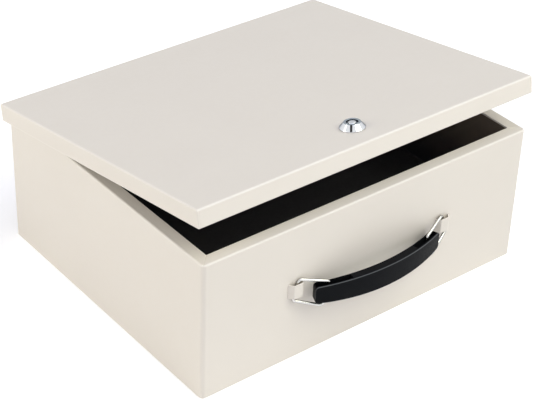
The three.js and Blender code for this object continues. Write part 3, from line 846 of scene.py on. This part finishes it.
# %% Bottom
PANEL_GAP = SHEET + SEAT
PANEL_HEIGHT = box_mm("bottom_panel")[1].z
panel_rectangle = (-SIDE + PANEL_GAP, SIDE - PANEL_GAP, FRONT + PANEL_GAP, BACK - PANEL_GAP)
PANEL_BEND = 1.4
PANEL_REACH = 4
section = rounded(
    [
        (PANEL_REACH, 0), (0, 0), (0, PANEL_HEIGHT), (SHEET, PANEL_HEIGHT), (SHEET, SHEET),
        (PANEL_REACH, SHEET),
    ],
    [0, PANEL_BEND, CUT_EDGE, CUT_EDGE, PANEL_BEND - SHEET + 0.1, 0],
)
panel_radius = CORNER - PANEL_GAP
bottom = folded(
    "bottom_sheet", panel_rectangle, section, lambda inset: max(panel_radius - inset, CUT_EDGE)
)
hand_over(bottom, "root", "sand_coat", "bottom_panel")

# %% Tray for the papers
liner_low, liner_high = box_mm("inner_liner")
FLOOR_HEIGHT = liner_low.z + LINER_SHEET
TRAY_BEND = 2.0
TRAY_REACH = 6
LINER_EDGE = 0.2
TRAY_RADIUS = MOUTH + SHEET + SEAT + LINER_SHEET
tray_rectangle = (liner_low.x, liner_high.x, liner_low.y, liner_high.y)
section = rounded(
    [
        (TRAY_REACH, FLOOR_HEIGHT), (LINER_SHEET, FLOOR_HEIGHT), (LINER_SHEET, liner_high.z),
        (0, liner_high.z), (0, liner_low.z), (TRAY_REACH, liner_low.z),
    ],
    [0, TRAY_BEND, LINER_EDGE, LINER_EDGE, TRAY_BEND + LINER_SHEET, 0],
)
tray = folded(
    "papers_tray", tray_rectangle, section, lambda inset: max(TRAY_RADIUS - inset, INNER_BEND)
)
hand_over(tray, "root", "black_liner", "inner_liner")

# %% [markdown]
# ## Lid
# The lid is a shallow pan turned upside down. Its skirt reaches past the body on all
# sides. Under it sits a second pan that dips into the mouth and holds the lid's board. It
# is sprayed with the lid, and throws a warm light on the rim of the body.
# The skirt's corners are butted, so a fine seam runs down beside each front corner.

# %% Lid sheet
SEAM_WIDTH = 0.2
SEAM_DEPTH = 0.2
SEAM_INSET = 2.3
SKIRT_BEHIND = 1.1
SKIRT_EDGE = 0.5
LID_INNER_CORNER = 0.4
LID_REACH = 5
lid_rectangle = (-LID_SIDE, LID_SIDE, LID_FRONT, LID_BACK)
section = rounded(
    [
        (LID_REACH, LID_TOP), (0, LID_TOP), (0, SKIRT_LOW + HIGHLIGHT_FADE), (0, SKIRT_LOW),
        (SHEET, SKIRT_LOW), (SHEET, LID_TOP - SHEET), (LID_REACH, LID_TOP - SHEET),
    ],
    [0, FOLD, 0, SKIRT_EDGE, SKIRT_EDGE - 0.05, SKIRT_EDGE, 0],
)
# The lower edge of the skirt gets a full painted highlight.
section = full_painted_highlight(section, (0, SKIRT_LOW), SKIRT_EDGE + BAND_PLAY)
lid = folded(
    "lid_sheet", lid_rectangle, section, lambda inset: max(LID_CORNER - inset, LID_INNER_CORNER)
)

# %% Seams and holes of the lid
LOCK_SETBACK = 32.7
LOCK_Y = LID_FRONT + LOCK_SETBACK
BARREL_RADIUS = 9.5
LID_RIVET_LIFT = 8.1
seams = []
for hand in (-1, 1):
    middle = hand * (LID_SIDE - SEAM_INSET)
    seams.append(block(
        "seam", (middle - SEAM_WIDTH / 2, LID_FRONT - OVERRUN, SKIRT_LOW - OVERRUN),
        (middle + SEAM_WIDTH / 2, LID_FRONT + SEAM_DEPTH, LID_TOP - FOLD),
    ))
back_cut = block(
    "back_cut", (-LID_SIDE + SHEET, HINGE.y, SKIRT_LOW - OVERRUN),
    (LID_SIDE - SHEET, LID_BACK + OVERRUN, HINGE.z - SKIRT_BEHIND),
)
bore = BARREL_RADIUS + RUNNING
lock_hole = rod("lock_hole", bore, LID_TOP - SHEET - OVERRUN, LID_TOP + OVERRUN, 48)
lid_places = [(x, HINGE.z + LID_RIVET_LIFT) for x, _ in body_places]
holes = rivet_holes(
    RIVET_RADIUS + RUNNING, LID_BACK - SHEET - OVERRUN, LID_BACK + OVERRUN, lid_places
)
work(lid, seams + [back_cut, shift(lock_hole, y=LOCK_Y)] + holes)
hand_over(lid, "lid", "sand_coat", "lid_shell")

# %% Pan under the lid
PAN_PLAY = 2
PAN_BACK_PLAY = 6
PAN_DIP = 8
PAN_SIDE = SIDE - RIM - PAN_PLAY
PAN_LOW = HEIGHT - PAN_DIP
PAN_TOP = LID_TOP - SHEET - RUNNING
PAN_FLANGE = 8
PAN_REACH = 6
PAN_BEND = 1.2
PAN_INNER_BEND = 0.4
PAN_CORNER = 0.5
section = rounded(
    [
        (PAN_REACH, PAN_LOW), (0, PAN_LOW), (0, PAN_TOP - LINER_SHEET),
        (-PAN_FLANGE, PAN_TOP - LINER_SHEET), (-PAN_FLANGE, PAN_TOP), (LINER_SHEET, PAN_TOP),
        (LINER_SHEET, PAN_LOW + LINER_SHEET), (PAN_REACH, PAN_LOW + LINER_SHEET),
    ],
    [0, PAN_BEND, PAN_INNER_BEND, LINER_EDGE, LINER_EDGE, LINER_SHEET, LINER_SHEET, 0],
)
pan_rectangle = (-PAN_SIDE, PAN_SIDE, FRONT + RIM + PAN_PLAY, BACK - RIM - PAN_BACK_PLAY)
pan = folded("lid_pan", pan_rectangle, section, lambda inset: max(MOUTH - inset, PAN_CORNER))
lock_hole = rod("lock_hole", bore, PAN_LOW - OVERRUN, PAN_TOP + OVERRUN, 48)
work(pan, [shift(lock_hole, y=LOCK_Y)])
hand_over(pan, "lid", "sand_coat", "lid_liner")

# %% [markdown]
# ## Fire boards
# The boards are plain slabs cut with a knife, and nobody sees them in a closed wall. The
# frame's own solids have their true shape, so they stay and only get their finish.

# %% Fire boards
boards = [name for name in frame["nodes"] if "board" in name]
for name in boards:
    solid = frame["nodes"][name]
    solid.data.materials.clear()
    solid.data.materials.append(fire_board)
print("boards finished", len(boards))

# %% [markdown]
# ## Piano hinge
# A piano hinge is two strips of zinc plated sheet, cut into fingers that are rolled round
# one long pin. Fingers of the two strips take turns. Each finger is drawn as a section
# of the rolled sheet: an open loop with the flat strip running off it. The section is
# pushed along X for the finger's length, and then joined to the strip.

# %% Measures of the hinge
KNUCKLES = 17
KNUCKLE_RADIUS = 2.8
PIN_RADIUS = 1.2
LEAF_SHEET = 1.0
LEAF_EDGE = 0.12
BODY_LEAF = 16.0
LID_LEAF = 13.4
ROLL = radians(322)
ROLL_STEPS = 26
leaf_high = box_mm("hinge_leaf_body")[1]
HINGE_HALF = round(leaf_high.x + RUNNING / 2, 3)
PITCH = 2 * HINGE_HALF / KNUCKLES
print("hinge", round(2 * HINGE_HALF), "mm long with", KNUCKLES, "knuckles")


def rolled_section(strip_hand, run):
    """Rolled finger seen along X: strip_hand is the side of the pin that the strip is on."""
    inner = PIN_RADIUS + RUNNING
    outer = KNUCKLE_RADIUS
    start = 0.0 if strip_hand > 0 else pi
    sweep = ROLL * (1 if run < 0 else -1) * strip_hand
    angles = [start + sweep * step / ROLL_STEPS for step in range(ROLL_STEPS + 1)]
    around_out = [polar(outer, angle) for angle in angles]
    around_in = [polar(inner, angle) for angle in reversed(angles)]
    strip_in = (strip_hand * (outer - LEAF_SHEET), 0)
    tail = [(strip_hand * (outer - LEAF_SHEET), run), (strip_hand * outer, run)]
    outline = around_out + around_in[:-1] + [strip_in] + tail
    return [(HINGE.y + y, HINGE.z + z) for y, z in outline]


def hinge_leaf(name, first, strip_hand, run):
    inside = HINGE.y + strip_hand * (KNUCKLE_RADIUS - LEAF_SHEET)
    outside = HINGE.y + strip_hand * KNUCKLE_RADIUS
    left, right = sorted((inside, outside))
    notch = copysign(KNUCKLE_RADIUS + RUNNING, run)
    near, far = sorted((HINGE.z + notch, HINGE.z + run))
    half = HINGE_HALF - RUNNING / 2
    leaf = block(name, (-half, left, near), (half, right, far))
    reach = notch + copysign(LEAF_SHEET, run)
    for i in range(first, KNUCKLES, 2):
        low = -HINGE_HALF + i * PITCH + RUNNING / 2
        high = -HINGE_HALF + (i + 1) * PITCH - RUNNING / 2
        finger = prism("finger", rolled_section(strip_hand, reach), low, high, axis="X")
        work(leaf, [finger], "UNION")
    return leaf


# %% Leaves of the hinge
low_leaf = hinge_leaf("hinge_strip_body", 0, -1, -BODY_LEAF)
work(low_leaf, rivet_holes(RIVET_RADIUS + SEAT, BACK, HINGE.y, body_places))
break_edges(low_leaf, LEAF_EDGE, 1)
hand_over(low_leaf, "root", "zinc_steel", "hinge_leaf_body")

high_leaf = hinge_leaf("hinge_strip_lid", 1, 1, LID_LEAF)
work(high_leaf, rivet_holes(RIVET_RADIUS + RUNNING, HINGE.y, LID_BACK, lid_places))
break_edges(high_leaf, LEAF_EDGE, 1)
hand_over(high_leaf, "lid", "zinc_steel", "hinge_leaf_lid")

# %% Hinge pin
PIN_EDGE = 0.4
pin_low, pin_high = box_mm("hinge_pin")
profile = round_points(
    [(0, pin_low.x), (PIN_RADIUS, pin_low.x), (PIN_RADIUS, pin_high.x), (0, pin_high.x)],
    [0, PIN_EDGE, PIN_EDGE, 0],
)
pin = turned("hinge_wire_pin", profile, 24)
shift(pin, 0, HINGE.y, HINGE.z, LIE_ALONG_X)
hand_over(pin, "root", "zinc_steel", "hinge_pin")

# %% [markdown]
# ## Rivets
# A rivet is set cold: its head is domed, and its tail is spread flat inside the wall. The
# lid's rivets are set before the lid is sprayed, so they are sand coloured.

# %% Rivets
HEAD_RADIUS = 3.0
HEAD_HEIGHT = 1.1
HEAD_RIM = 0.15
TAIL_RADIUS = 2.4
TAIL_HEIGHT = 0.9
TAIL_EDGE = 0.3
DOME_STEPS = 6


def rivet(name, head, tail, x, z):
    dome = []
    for step in range(DOME_STEPS + 1):
        angle = pi / 2 * step / DOME_STEPS
        rise = HEAD_RIM + (HEAD_HEIGHT - HEAD_RIM) * sin(angle)
        dome.append((HEAD_RADIUS * cos(angle), head + rise))
    dome[-1] = (0, head + HEAD_HEIGHT)
    profile = [
        (0, tail - TAIL_HEIGHT), (TAIL_RADIUS - TAIL_EDGE, tail - TAIL_HEIGHT),
        (TAIL_RADIUS, tail - TAIL_HEIGHT + TAIL_EDGE), (TAIL_RADIUS, tail), (RIVET_RADIUS, tail),
        (RIVET_RADIUS, head), (HEAD_RADIUS, head),
    ] + dome
    return shift(turned(name, profile, 32), x, 0, z, FACE_BACK)


head = HINGE.y - KNUCKLE_RADIUS + LEAF_SHEET + SEAT
tail = HINGE.y + KNUCKLE_RADIUS - LEAF_SHEET - RUNNING
for i in range(1, 5):
    made = rivet(f"rivet_body_{i}", head, BACK - SHEET - SEAT, *body_places[i - 1])
    hand_over(made, "root", "zinc_steel", f"hinge_rivet_body_{i}")
    made = rivet(f"rivet_lid_{i}", LID_BACK + RUNNING, tail, *lid_places[i - 1])
    hand_over(made, "lid", "sand_coat", f"hinge_rivet_lid_{i}")

# %% [markdown]
# ## Lock
# The lock takes a round key. It has a bezel in the shape of a cone, a threaded barrel that
# a nut clamps under the lid, and a plug whose post the key slips over. A black line is cut
# into the cone.
#
# Bezel and barrel are one casting, so they are turned as one part. The thread is pressed
# into the turned rows afterwards, as a ramp that climbs by one pitch in each turn.

# %% Bezel and barrel
BEZEL_RADIUS = 12.3
BEZEL_TOP_RADIUS = 8.0
BEZEL_HEIGHT = 6.0
BEZEL_EDGE = 0.8
KEYWAY_RADIUS = 5.7
KEYWAY_DEPTH = 7.0
STEM_RADIUS = 4.5
PLUG_HEAD = 3.0
BARREL_END = LID_TOP - 17.5
THREAD_PITCH = 1.2
THREAD_DEPTH = 0.45
THREAD_ROWS = 6
THREAD_INSET = 1
NEAR_BARREL = 0.01
bezel_foot = LID_TOP + RUNNING
bezel_top = bezel_foot + BEZEL_HEIGHT
shoulder = bezel_top - KEYWAY_DEPTH - PLUG_HEAD - RUNNING
corners = [
    (KEYWAY_RADIUS, shoulder), (STEM_RADIUS + RUNNING, shoulder),
    (STEM_RADIUS + RUNNING, BARREL_END), (BARREL_RADIUS, BARREL_END),
    (BARREL_RADIUS, bezel_foot), (BEZEL_RADIUS, bezel_foot),
    (BEZEL_RADIUS, bezel_foot + BEZEL_EDGE), (BEZEL_TOP_RADIUS, bezel_top),
    (KEYWAY_RADIUS, bezel_top),
]
radii = [0, 0.2, 0.3, 0.4, 0, 0.15, 0.5, 0.7, 0.35]
profile = []
for place in round_points(corners, radii, closed=True):
    start = profile[-1] if profile else place
    if max(abs(start.x - BARREL_RADIUS), abs(place.x - BARREL_RADIUS)) < TOUCH:
        rows = round((place.y - start.y) * THREAD_ROWS / THREAD_PITCH)
        profile += [start.lerp(place, row / rows) for row in range(1, rows)]
    profile.append(place)
barrel = turned("lock_barrel_bezel", profile, 64, closed=True)
for vertex in barrel.data.vertices:
    x, y, z = vertex.co / MM
    on_thread = BARREL_END + THREAD_INSET < z < bezel_foot - THREAD_INSET
    if not on_thread or abs(hypot(x, y) - BARREL_RADIUS) > NEAR_BARREL:
        continue
    climb = (z / THREAD_PITCH - atan2(y, x) / (2 * pi)) % 1
    press = 1 - THREAD_DEPTH * (1 - abs(2 * climb - 1)) / BARREL_RADIUS
    vertex.co.x *= press
    vertex.co.y *= press

# %% [markdown]
# The mark is a real groove. The cutter's own material, black fill, goes with the cut, so
# the groove's walls are black and the cone round them stays chrome.

# %% Mark on the cone
MARK_WIDTH = 2.2
MARK_DEPTH = 0.6
MARK_ANGLE = radians(-136)
# Depth of the flat top that gets the painted shade.
PAINTED_SHADE_DEPTH = 0.5
rise = BEZEL_HEIGHT - BEZEL_EDGE
run = BEZEL_RADIUS - BEZEL_TOP_RADIUS
slope = atan2(rise, run)
slant = hypot(rise, run)
half = MARK_WIDTH / 2
outline = round_points(
    [(-slant / 2, -half), (slant / 2, -half), (slant / 2, half), (-slant / 2, half)],
    [CUT_EDGE] * 4, closed=True,
)
bar = prism("mark_bar", outline, -MARK_DEPTH, MARK_DEPTH)
bar.data.transform(Matrix.Rotation(slope, 4, "Y"))
middle_radius = (BEZEL_RADIUS + BEZEL_TOP_RADIUS) / 2
shift(bar, middle_radius, 0, bezel_foot + (BEZEL_HEIGHT + BEZEL_EDGE) / 2)
bar.data.transform(Matrix.Rotation(MARK_ANGLE, 4, "Z"))
for finish in (chrome_plate, mark_fill, dull_chrome_painted_shade):
    barrel.data.materials.append(finish)
# Faces of the flat top get the dull chrome with its painted shade.
for face in barrel.data.polygons:
    if face.center.z > (bezel_top - PAINTED_SHADE_DEPTH) * MM:
        face.material_index = 2
bar.data.materials.append(mark_fill)
work(barrel, [bar])
print("lock finishes", [finish.name for finish in barrel.data.materials])
shift(barrel, y=LOCK_Y)
hand_over(barrel, "lid", "chrome_plate", "lock_barrel")

# %% Washer and nut
WASHER_RADIUS = 12.6
WASHER_THICKNESS = 1.0
NUT_RADIUS = 13.6
NUT_THICKNESS = 3.0
NUT_CHAMFER = 0.9
WASHER_EDGE = 0.25
washer_top = PAN_LOW - RUNNING
nut_top = washer_top - WASHER_THICKNESS - RUNNING


def flat_ring(name, inner, outer, low, high, edge):
    corners = [(inner, low), (outer, low), (outer, high), (inner, high)]
    return turned(name, round_points(corners, [edge] * 4, steps=3, closed=True), 64, closed=True)


washer = flat_ring(
    "lock_flat_washer", bore, WASHER_RADIUS, washer_top - WASHER_THICKNESS, washer_top,
    WASHER_EDGE,
)
hand_over(shift(washer, y=LOCK_Y), "lid", "zinc_steel", "lock_washer")

hexagon = [polar(NUT_RADIUS, pi / 3 * i + pi / 6) for i in range(6)]
nut = prism("lock_hex_nut", hexagon, nut_top - NUT_THICKNESS, nut_top)
cone = flat_ring("cone", bore, NUT_RADIUS, nut_top - NUT_THICKNESS, nut_top, NUT_CHAMFER)
work(nut, [cone], "INTERSECT")
hand_over(shift(nut, y=LOCK_Y), "lid", "zinc_steel", "lock_nut")

# %% [markdown]
# The plug turns in the barrel. Its face at the bottom of the keyway carries seven pins in
# a circle, and its square tail drives the cam that reaches under the strike.

# %% Plug
POST_RADIUS = 3.8
SQUARE = 6.4
CAM_THICKNESS = 2.0
CAM_SCREW_RADIUS = 1.5
CAM_SCREW_LENGTH = 6
PIN_COUNT = 7
PIN_RISE = 0.5
KEY_PIN_RADIUS = 0.5
SQUARE_EDGE = 0.4
plug_face = bezel_top - KEYWAY_DEPTH
plug_top = bezel_top - RUNNING
cam_top = BARREL_END - RUNNING
cam_low = cam_top - CAM_THICKNESS
head_radius = KEYWAY_RADIUS - RUNNING
corners = [
    (0, BARREL_END), (STEM_RADIUS, BARREL_END), (STEM_RADIUS, plug_face - PLUG_HEAD),
    (head_radius, plug_face - PLUG_HEAD), (head_radius, plug_face), (POST_RADIUS, plug_face),
    (POST_RADIUS, plug_top), (0, plug_top),
]
plug = turned("lock_core", round_points(corners, [0, 0.2, 0, 0.2, 0.2, 0, 0.6, 0]), 48)
tail = block("tail", (-SQUARE / 2, -SQUARE / 2, cam_low), (SQUARE / 2, SQUARE / 2, BARREL_END + 1))
break_edges(tail, SQUARE_EDGE, 1)
radius = (head_radius + POST_RADIUS) / 2
key_pins = []
for i in range(PIN_COUNT):
    key_pin = rod("key_pin", KEY_PIN_RADIUS, plug_face - PIN_RISE, plug_face + PIN_RISE, 12)
    key_pins.append(shift(key_pin, *polar(radius, 2 * pi * (i + 0.5) / PIN_COUNT)))
work(plug, [tail] + key_pins, "UNION")
hole_top = cam_low + CAM_SCREW_LENGTH + RUNNING
work(plug, [rod("screw_hole", CAM_SCREW_RADIUS + RUNNING, cam_low - OVERRUN, hole_top)])
hand_over(shift(plug, y=LOCK_Y), "lock_rotor", "chrome_plate", "lock_plug")

# %% Cam
CAM_HALF = 5.5
CAM_REACH = 14.5
CAM_EDGE = 0.25


def arc(radius, first, last, steps):
    return [polar(radius, first + (last - first) * step / steps) for step in range(steps + 1)]


tip = asin(CAM_HALF / CAM_REACH)
outline = arc(CAM_HALF, pi / 2, 1.5 * pi, 24) + arc(CAM_REACH, -tip, tip, 8)
cam = prism("lock_cam_plate", outline, cam_low, cam_top)
half = SQUARE / 2 + RUNNING
work(cam, [block("hole", (-half, -half, cam_low - 1), (half, half, cam_top + 1))])
break_edges(cam, CAM_EDGE)
hand_over(shift(cam, y=LOCK_Y), "lock_rotor", "zinc_steel", "lock_cam")

# %% Screw of the cam
SCREW_HEAD = 4.2
SCREW_HEAD_HEIGHT = 1.6
CROSS_DEPTH = 0.9
CROSS_LONG = 2.4
CROSS_HALF = 0.45
screw_top = cam_low - RUNNING
screw_low = screw_top - SCREW_HEAD_HEIGHT
screw_end = screw_top + CAM_SCREW_LENGTH
profile = round_points(
    [
        (0, screw_low), (SCREW_HEAD, screw_low), (SCREW_HEAD, screw_top),
        (CAM_SCREW_RADIUS, screw_top), (CAM_SCREW_RADIUS, screw_end), (0, screw_end),
    ],
    [0, 1.2, 0.15, 0, 0.4, 0],
)
screw = turned("cam_pan_screw", profile, 32)
cross = [
    block("cross", (-a, -b, screw_low - 1), (a, b, screw_low + CROSS_DEPTH))
    for a, b in ((CROSS_LONG, CROSS_HALF), (CROSS_HALF, CROSS_LONG))
]
work(screw, cross)
hand_over(shift(screw, y=LOCK_Y), "lock_rotor", "zinc_steel", "cam_screw")

# %% [markdown]
# ## Strike
# The strike is a bent angle spot welded to the front wall of the tray. It is drawn as
# the middle line of the strip, which is then given its thickness on both sides. That is
# how a bent strip keeps the same sheet thickness all round a bend.

# %% Bent strips
def strip_outline(corners, radii, sheet):
    path = rounded(corners, radii)
    left = [point + Vector((-way.y, way.x)) * sheet / 2 for point, way, _ in path]
    right = [point - Vector((-way.y, way.x)) * sheet / 2 for point, way, _ in path]
    return left + right[::-1]


# %% Strike
STRIKE_SHEET = 1.5
STRIKE_BEND = 0.9
STRIKE_EDGE = 0.2
strike_low, strike_high = box_mm("lock_strike")
middle_y = strike_low.y + STRIKE_SHEET / 2
middle_z = strike_high.z - STRIKE_SHEET / 2
outline = strip_outline(
    [(middle_y, strike_low.z), (middle_y, middle_z), (strike_high.y, middle_z)],
    [0, STRIKE_BEND, 0], STRIKE_SHEET,
)
strike = prism("strike_angle", outline, strike_low.x, strike_high.x, axis="X")
break_edges(strike, STRIKE_EDGE)
hand_over(strike, "root", "black_liner", "lock_strike")

# %% [markdown]
# ## Handle clips
# Each clip is a strap with sloping sides, like a hat seen from above. Its feet go through
# the slots and are bent flat inside the wall, and the bail's leg hangs behind its flat
# front. The clip is sprayed together with the body.

# %% Handle clips
CLIP_WIDTH = 17.6
CLIP_FLAT = 10.0
CLIP_DEPTH = 5.2
CLIP_BEND = 1.8
FOOT_BEND = 0.8
CLIP_EDGE = 0.22
# Top and bottom edges of each clip get a band of painted highlight.
EDGE_HIGHLIGHT_BAND = 0.15
EDGE_HIGHLIGHT = 0.6
clip_slope = atan2(CLIP_DEPTH, (CLIP_WIDTH - CLIP_FLAT) / 2)
half_sheet = SHEET / 2
side_x = CLIP_WIDTH / 2 - half_sheet
wall_y = -half_sheet * tan(pi / 4 - clip_slope / 2)
foot_y = -SHEET - SEAT - half_sheet
flat_x = CLIP_FLAT / 2 - half_sheet * tan(clip_slope / 2)
hat = [
    (CLIP_WIDTH / 2 + CLIP_FOOT, foot_y), (side_x, foot_y), (side_x, wall_y),
    (flat_x, CLIP_DEPTH - half_sheet),
]
hat += [(-x, y) for x, y in reversed(hat)]
bend = CLIP_BEND - half_sheet
for name, solid in (("clip_left", "handle_clip_left"), ("clip_right", "handle_clip_right")):
    first, last = box_mm(solid)
    radii = [0, half_sheet, FOOT_BEND, bend, bend, FOOT_BEND, half_sheet, 0]
    clip = prism(name, strip_outline(hat, radii, SHEET), first.z, last.z)
    break_edges(clip, CLIP_EDGE)
    # Painted highlight along the clip's top and bottom edges.
    for vertex, mark in zip(clip.data.vertices, clip.data.attributes["fold"].data):
        z = vertex.co.z / MM
        mark.value = EDGE_HIGHLIGHT if min(z - first.z, last.z - z) < EDGE_HIGHLIGHT_BAND else 0.0
    shift(clip, (first.x + last.x) / 2, FRONT, 0, Matrix.Rotation(pi, 4, "Z"))
    hand_over(clip, "root", "sand_coat", solid)

# %% [markdown]
# ## Bails
# A bail is one piece of wire with four bends: a leg in the clip, two arms that spread a
# little, and two tips that turn in and pivot in the grip. A curve object with a bevel
# would do, but a swept mesh keeps the section round in the tight bends and gives closed,
# rounded ends.

# %% Bails
WIRE_RADIUS = 1.5
WIRE_BEND = 3.0
ARM = 31.0
LEG = 22.0
FLARE = 1.7
TIP = 9.4
SWING = radians(20)
DROOP = radians(18.4)
WIRE_SIDES = 20
END_SHARE = 0.6
END_LENGTH = 0.4
tip_z = LEG / 2 + FLARE


def drawn_wire(name, path, radius):
    """A wire along a path in the plane of X and Z, with slightly domed ends."""
    first, heading, _ = path[0]
    last, leaving, _ = path[-1]
    dome = END_LENGTH * radius
    stations = [(first, heading, END_SHARE), (first + heading * dome, heading, 1.0)]
    stations += [(place, way, 1.0) for place, way, _ in path[1:-1]]
    stations += [(last - leaving * dome, leaving, 1.0), (last, leaving, END_SHARE)]
    points = []
    for place, way, share in stations:
        across = Vector((-way.y, 0, way.x))
        for side in range(WIRE_SIDES):
            angle = 2 * pi * side / WIRE_SIDES
            spoke = across * cos(angle) + Vector((0, 1, 0)) * sin(angle)
            points.append(Vector((place.x, 0, place.y)) + spoke * radius * share)
    return new_piece(name, points, bands(len(stations), WIRE_SIDES))


bail_corners = [
    (ARM, tip_z - TIP), (ARM, tip_z), (0, LEG / 2),
    (0, -LEG / 2), (ARM, -tip_z), (ARM, TIP - tip_z),
]
bail_path = rounded(bail_corners, [0, WIRE_BEND, WIRE_BEND, WIRE_BEND, WIRE_BEND, 0], steps=10)
clip_z = middle_of("handle_clip_left").z
leg_y = FRONT - WIRE_RADIUS - RUNNING
pivot_x = joints["bail_right_swing"]["pos_m"][0] / MM
leg_x = pivot_x + ARM * cos(SWING) * cos(DROOP)
for name, solid, body, hand in (
    ("bail_wire_left", "handle_bail_left", "bail_left", -1),
    ("bail_wire_right", "handle_bail_right", "bail_right", 1),
):
    bail = drawn_wire(name, bail_path, WIRE_RADIUS)
    swing = -SWING if hand < 0 else pi + SWING
    turn = Matrix.Rotation(-hand * DROOP, 4, "Y") @ Matrix.Rotation(swing, 4, "Z")
    shift(bail, hand * leg_x, leg_y, clip_z, turn)
    bail.data.materials.append(wire_plate)
    hand_over(bail, body, "chrome_plate", solid)

# %% [markdown]
# ## Grip
# The grip is a bowed plastic strap, taller in the middle. To save plastic and cooling
# time its ends are cored: an upper and a lower pocket leave thin walls and a web, and the
# bails' tips pivot in the web. The sections are lofted from one end to the other with the
# same number of points, and a pocket is only the place where those points sink in.

# %% Sections of the grip
GRIP_LENGTH = 152.0
GRIP_FRONT_RADIUS = 200.0
GRIP_THICKNESS = 9.0
GRIP_FACE = 1.6
GRIP_WALL = 1.0
GRIP_WEB = 11.0
GRIP_MIDDLE = 22.8
GRIP_END = 18.4
GRIP_CORNER = 2.8
GRIP_BODY_HALF = 40.0
GRIP_RISE = 2.0
PIVOT_DEPTH = 4.6
EDGE_ROUND = 0.9
BACK_ROUND = 0.6
ROUND_STEPS = 5
grip_half = GRIP_LENGTH / 2
pivot_y = joints["bail_right_swing"]["pos_m"][1] / MM
grip_z = joints["bail_right_swing"]["pos_m"][2] / MM
bow_centre = pivot_y + sqrt((GRIP_FRONT_RADIUS - PIVOT_DEPTH) ** 2 - pivot_x ** 2)


def grip_half_height(x):
    tall = (GRIP_MIDDLE - (GRIP_MIDDLE - GRIP_END) * (x / grip_half) ** 2) / 2
    past = abs(x) - (grip_half - GRIP_CORNER)
    if past <= 0:
        return tall
    return tall - GRIP_CORNER + sqrt(max(GRIP_CORNER ** 2 - past ** 2, 0))


def grip_section(half_height, pocket):
    """Section points: depth behind the front face, height over the pivots, painted highlight."""
    top = GRIP_RISE + half_height
    bottom = GRIP_RISE - half_height
    upper_floor = top - pocket * (top - GRIP_WEB / 2)
    lower_floor = bottom - pocket * (bottom + GRIP_WEB / 2)
    back_wall = GRIP_THICKNESS - GRIP_WALL
    points = []
    for depth, round_size, quarter in (
        (0, EDGE_ROUND, 2), (GRIP_THICKNESS, BACK_ROUND, 1),
        (GRIP_THICKNESS, BACK_ROUND, 0), (0, EDGE_ROUND, 3),
    ):
        middle_depth = round_size if depth == 0 else depth - round_size
        middle_height = top - round_size if quarter in (1, 2) else bottom + round_size
        for step in range(ROUND_STEPS + 1):
            out, up = polar(round_size, pi / 2 * (quarter - step / ROUND_STEPS))
            # The front edges get a painted highlight, strongest in the middle of their rounding.
            wear_and_highlight = sin(pi * step / ROUND_STEPS) if quarter in (2, 3) else 0.0
            points.append((middle_depth + out, middle_height + up, wear_and_highlight))
        if quarter == 2:
            points += [
                (GRIP_FACE, top, 0), (GRIP_FACE, upper_floor, 0),
                (back_wall, upper_floor, 0), (back_wall, top, 0),
            ]
        if quarter == 0:
            points += [
                (back_wall, bottom, 0), (back_wall, lower_floor, 0),
                (GRIP_FACE, lower_floor, 0), (GRIP_FACE, bottom, 0),
            ]
    return points


# %% Loft the grip
POCKET_END = grip_half - GRIP_WALL
STEEP = 0.25
STATION_STEP = 3.0
CORNER_STATIONS = (73.6, 74.4, POCKET_END)
END_STATIONS = (POCKET_END + STEEP, 75.6, 75.9, grip_half)
WELD = 0.001
GRIP_EDGE = 0.3
stations = [(x, 0) for x in (0, 8, 16, 24, 32, GRIP_BODY_HALF)]
pocket_steps = round((grip_half - GRIP_CORNER - GRIP_BODY_HALF) / STATION_STEP)
pocket_pitch = (grip_half - GRIP_CORNER - GRIP_BODY_HALF - STEEP) / pocket_steps
stations += [(GRIP_BODY_HALF + STEEP + i * pocket_pitch, 1) for i in range(pocket_steps + 1)]
stations += [(x, 1) for x in CORNER_STATIONS]
stations += [(x, 0) for x in END_STATIONS]
stations = [(-x, share) for x, share in stations[:0:-1]] + stations
points = []
highlight_marks = []
for x, pocket in stations:
    angle = asin(x / GRIP_FRONT_RADIUS)
    for depth, height, wear_and_highlight in grip_section(grip_half_height(x), pocket):
        radius = GRIP_FRONT_RADIUS - depth
        y = bow_centre - radius * cos(angle)
        points.append((radius * sin(angle), y, grip_z + height))
        highlight_marks.append(wear_and_highlight)
faces = bands(len(stations), len(points) // len(stations))
grip = new_piece("grip_moulding", points, faces, highlight_marks)
cleaned = bmesh.new()
cleaned.from_mesh(grip.data)
bmesh.ops.remove_doubles(cleaned, verts=cleaned.verts, dist=WELD * MM)
bmesh.ops.dissolve_degenerate(cleaned, edges=cleaned.edges, dist=WELD * MM)
cleaned.to_mesh(grip.data)
cleaned.free()
break_edges(grip, GRIP_EDGE, angle=55)

# %% [markdown]
# The pivot holes are drilled last, tilted with the bails, so that each tip stands in its
# own hole with a little play.

# %% Pivot holes
HOLE_RADIUS = WIRE_RADIUS + RUNNING
hole_end = tip_z - TIP - RUNNING
holes = []
for hand in (-1, 1):
    for low, high in ((hole_end, GRIP_WEB / 2 + OVERRUN), (-GRIP_WEB / 2 - OVERRUN, -hole_end)):
        hole = rod("pivot_hole", HOLE_RADIUS, low, high, 32)
        holes.append(
            shift(hole, hand * pivot_x, pivot_y, grip_z, Matrix.Rotation(-hand * DROOP, 4, "Y"))
        )
work(grip, holes)
hand_over(grip, "handle", "black_plastic", "handle_grip")
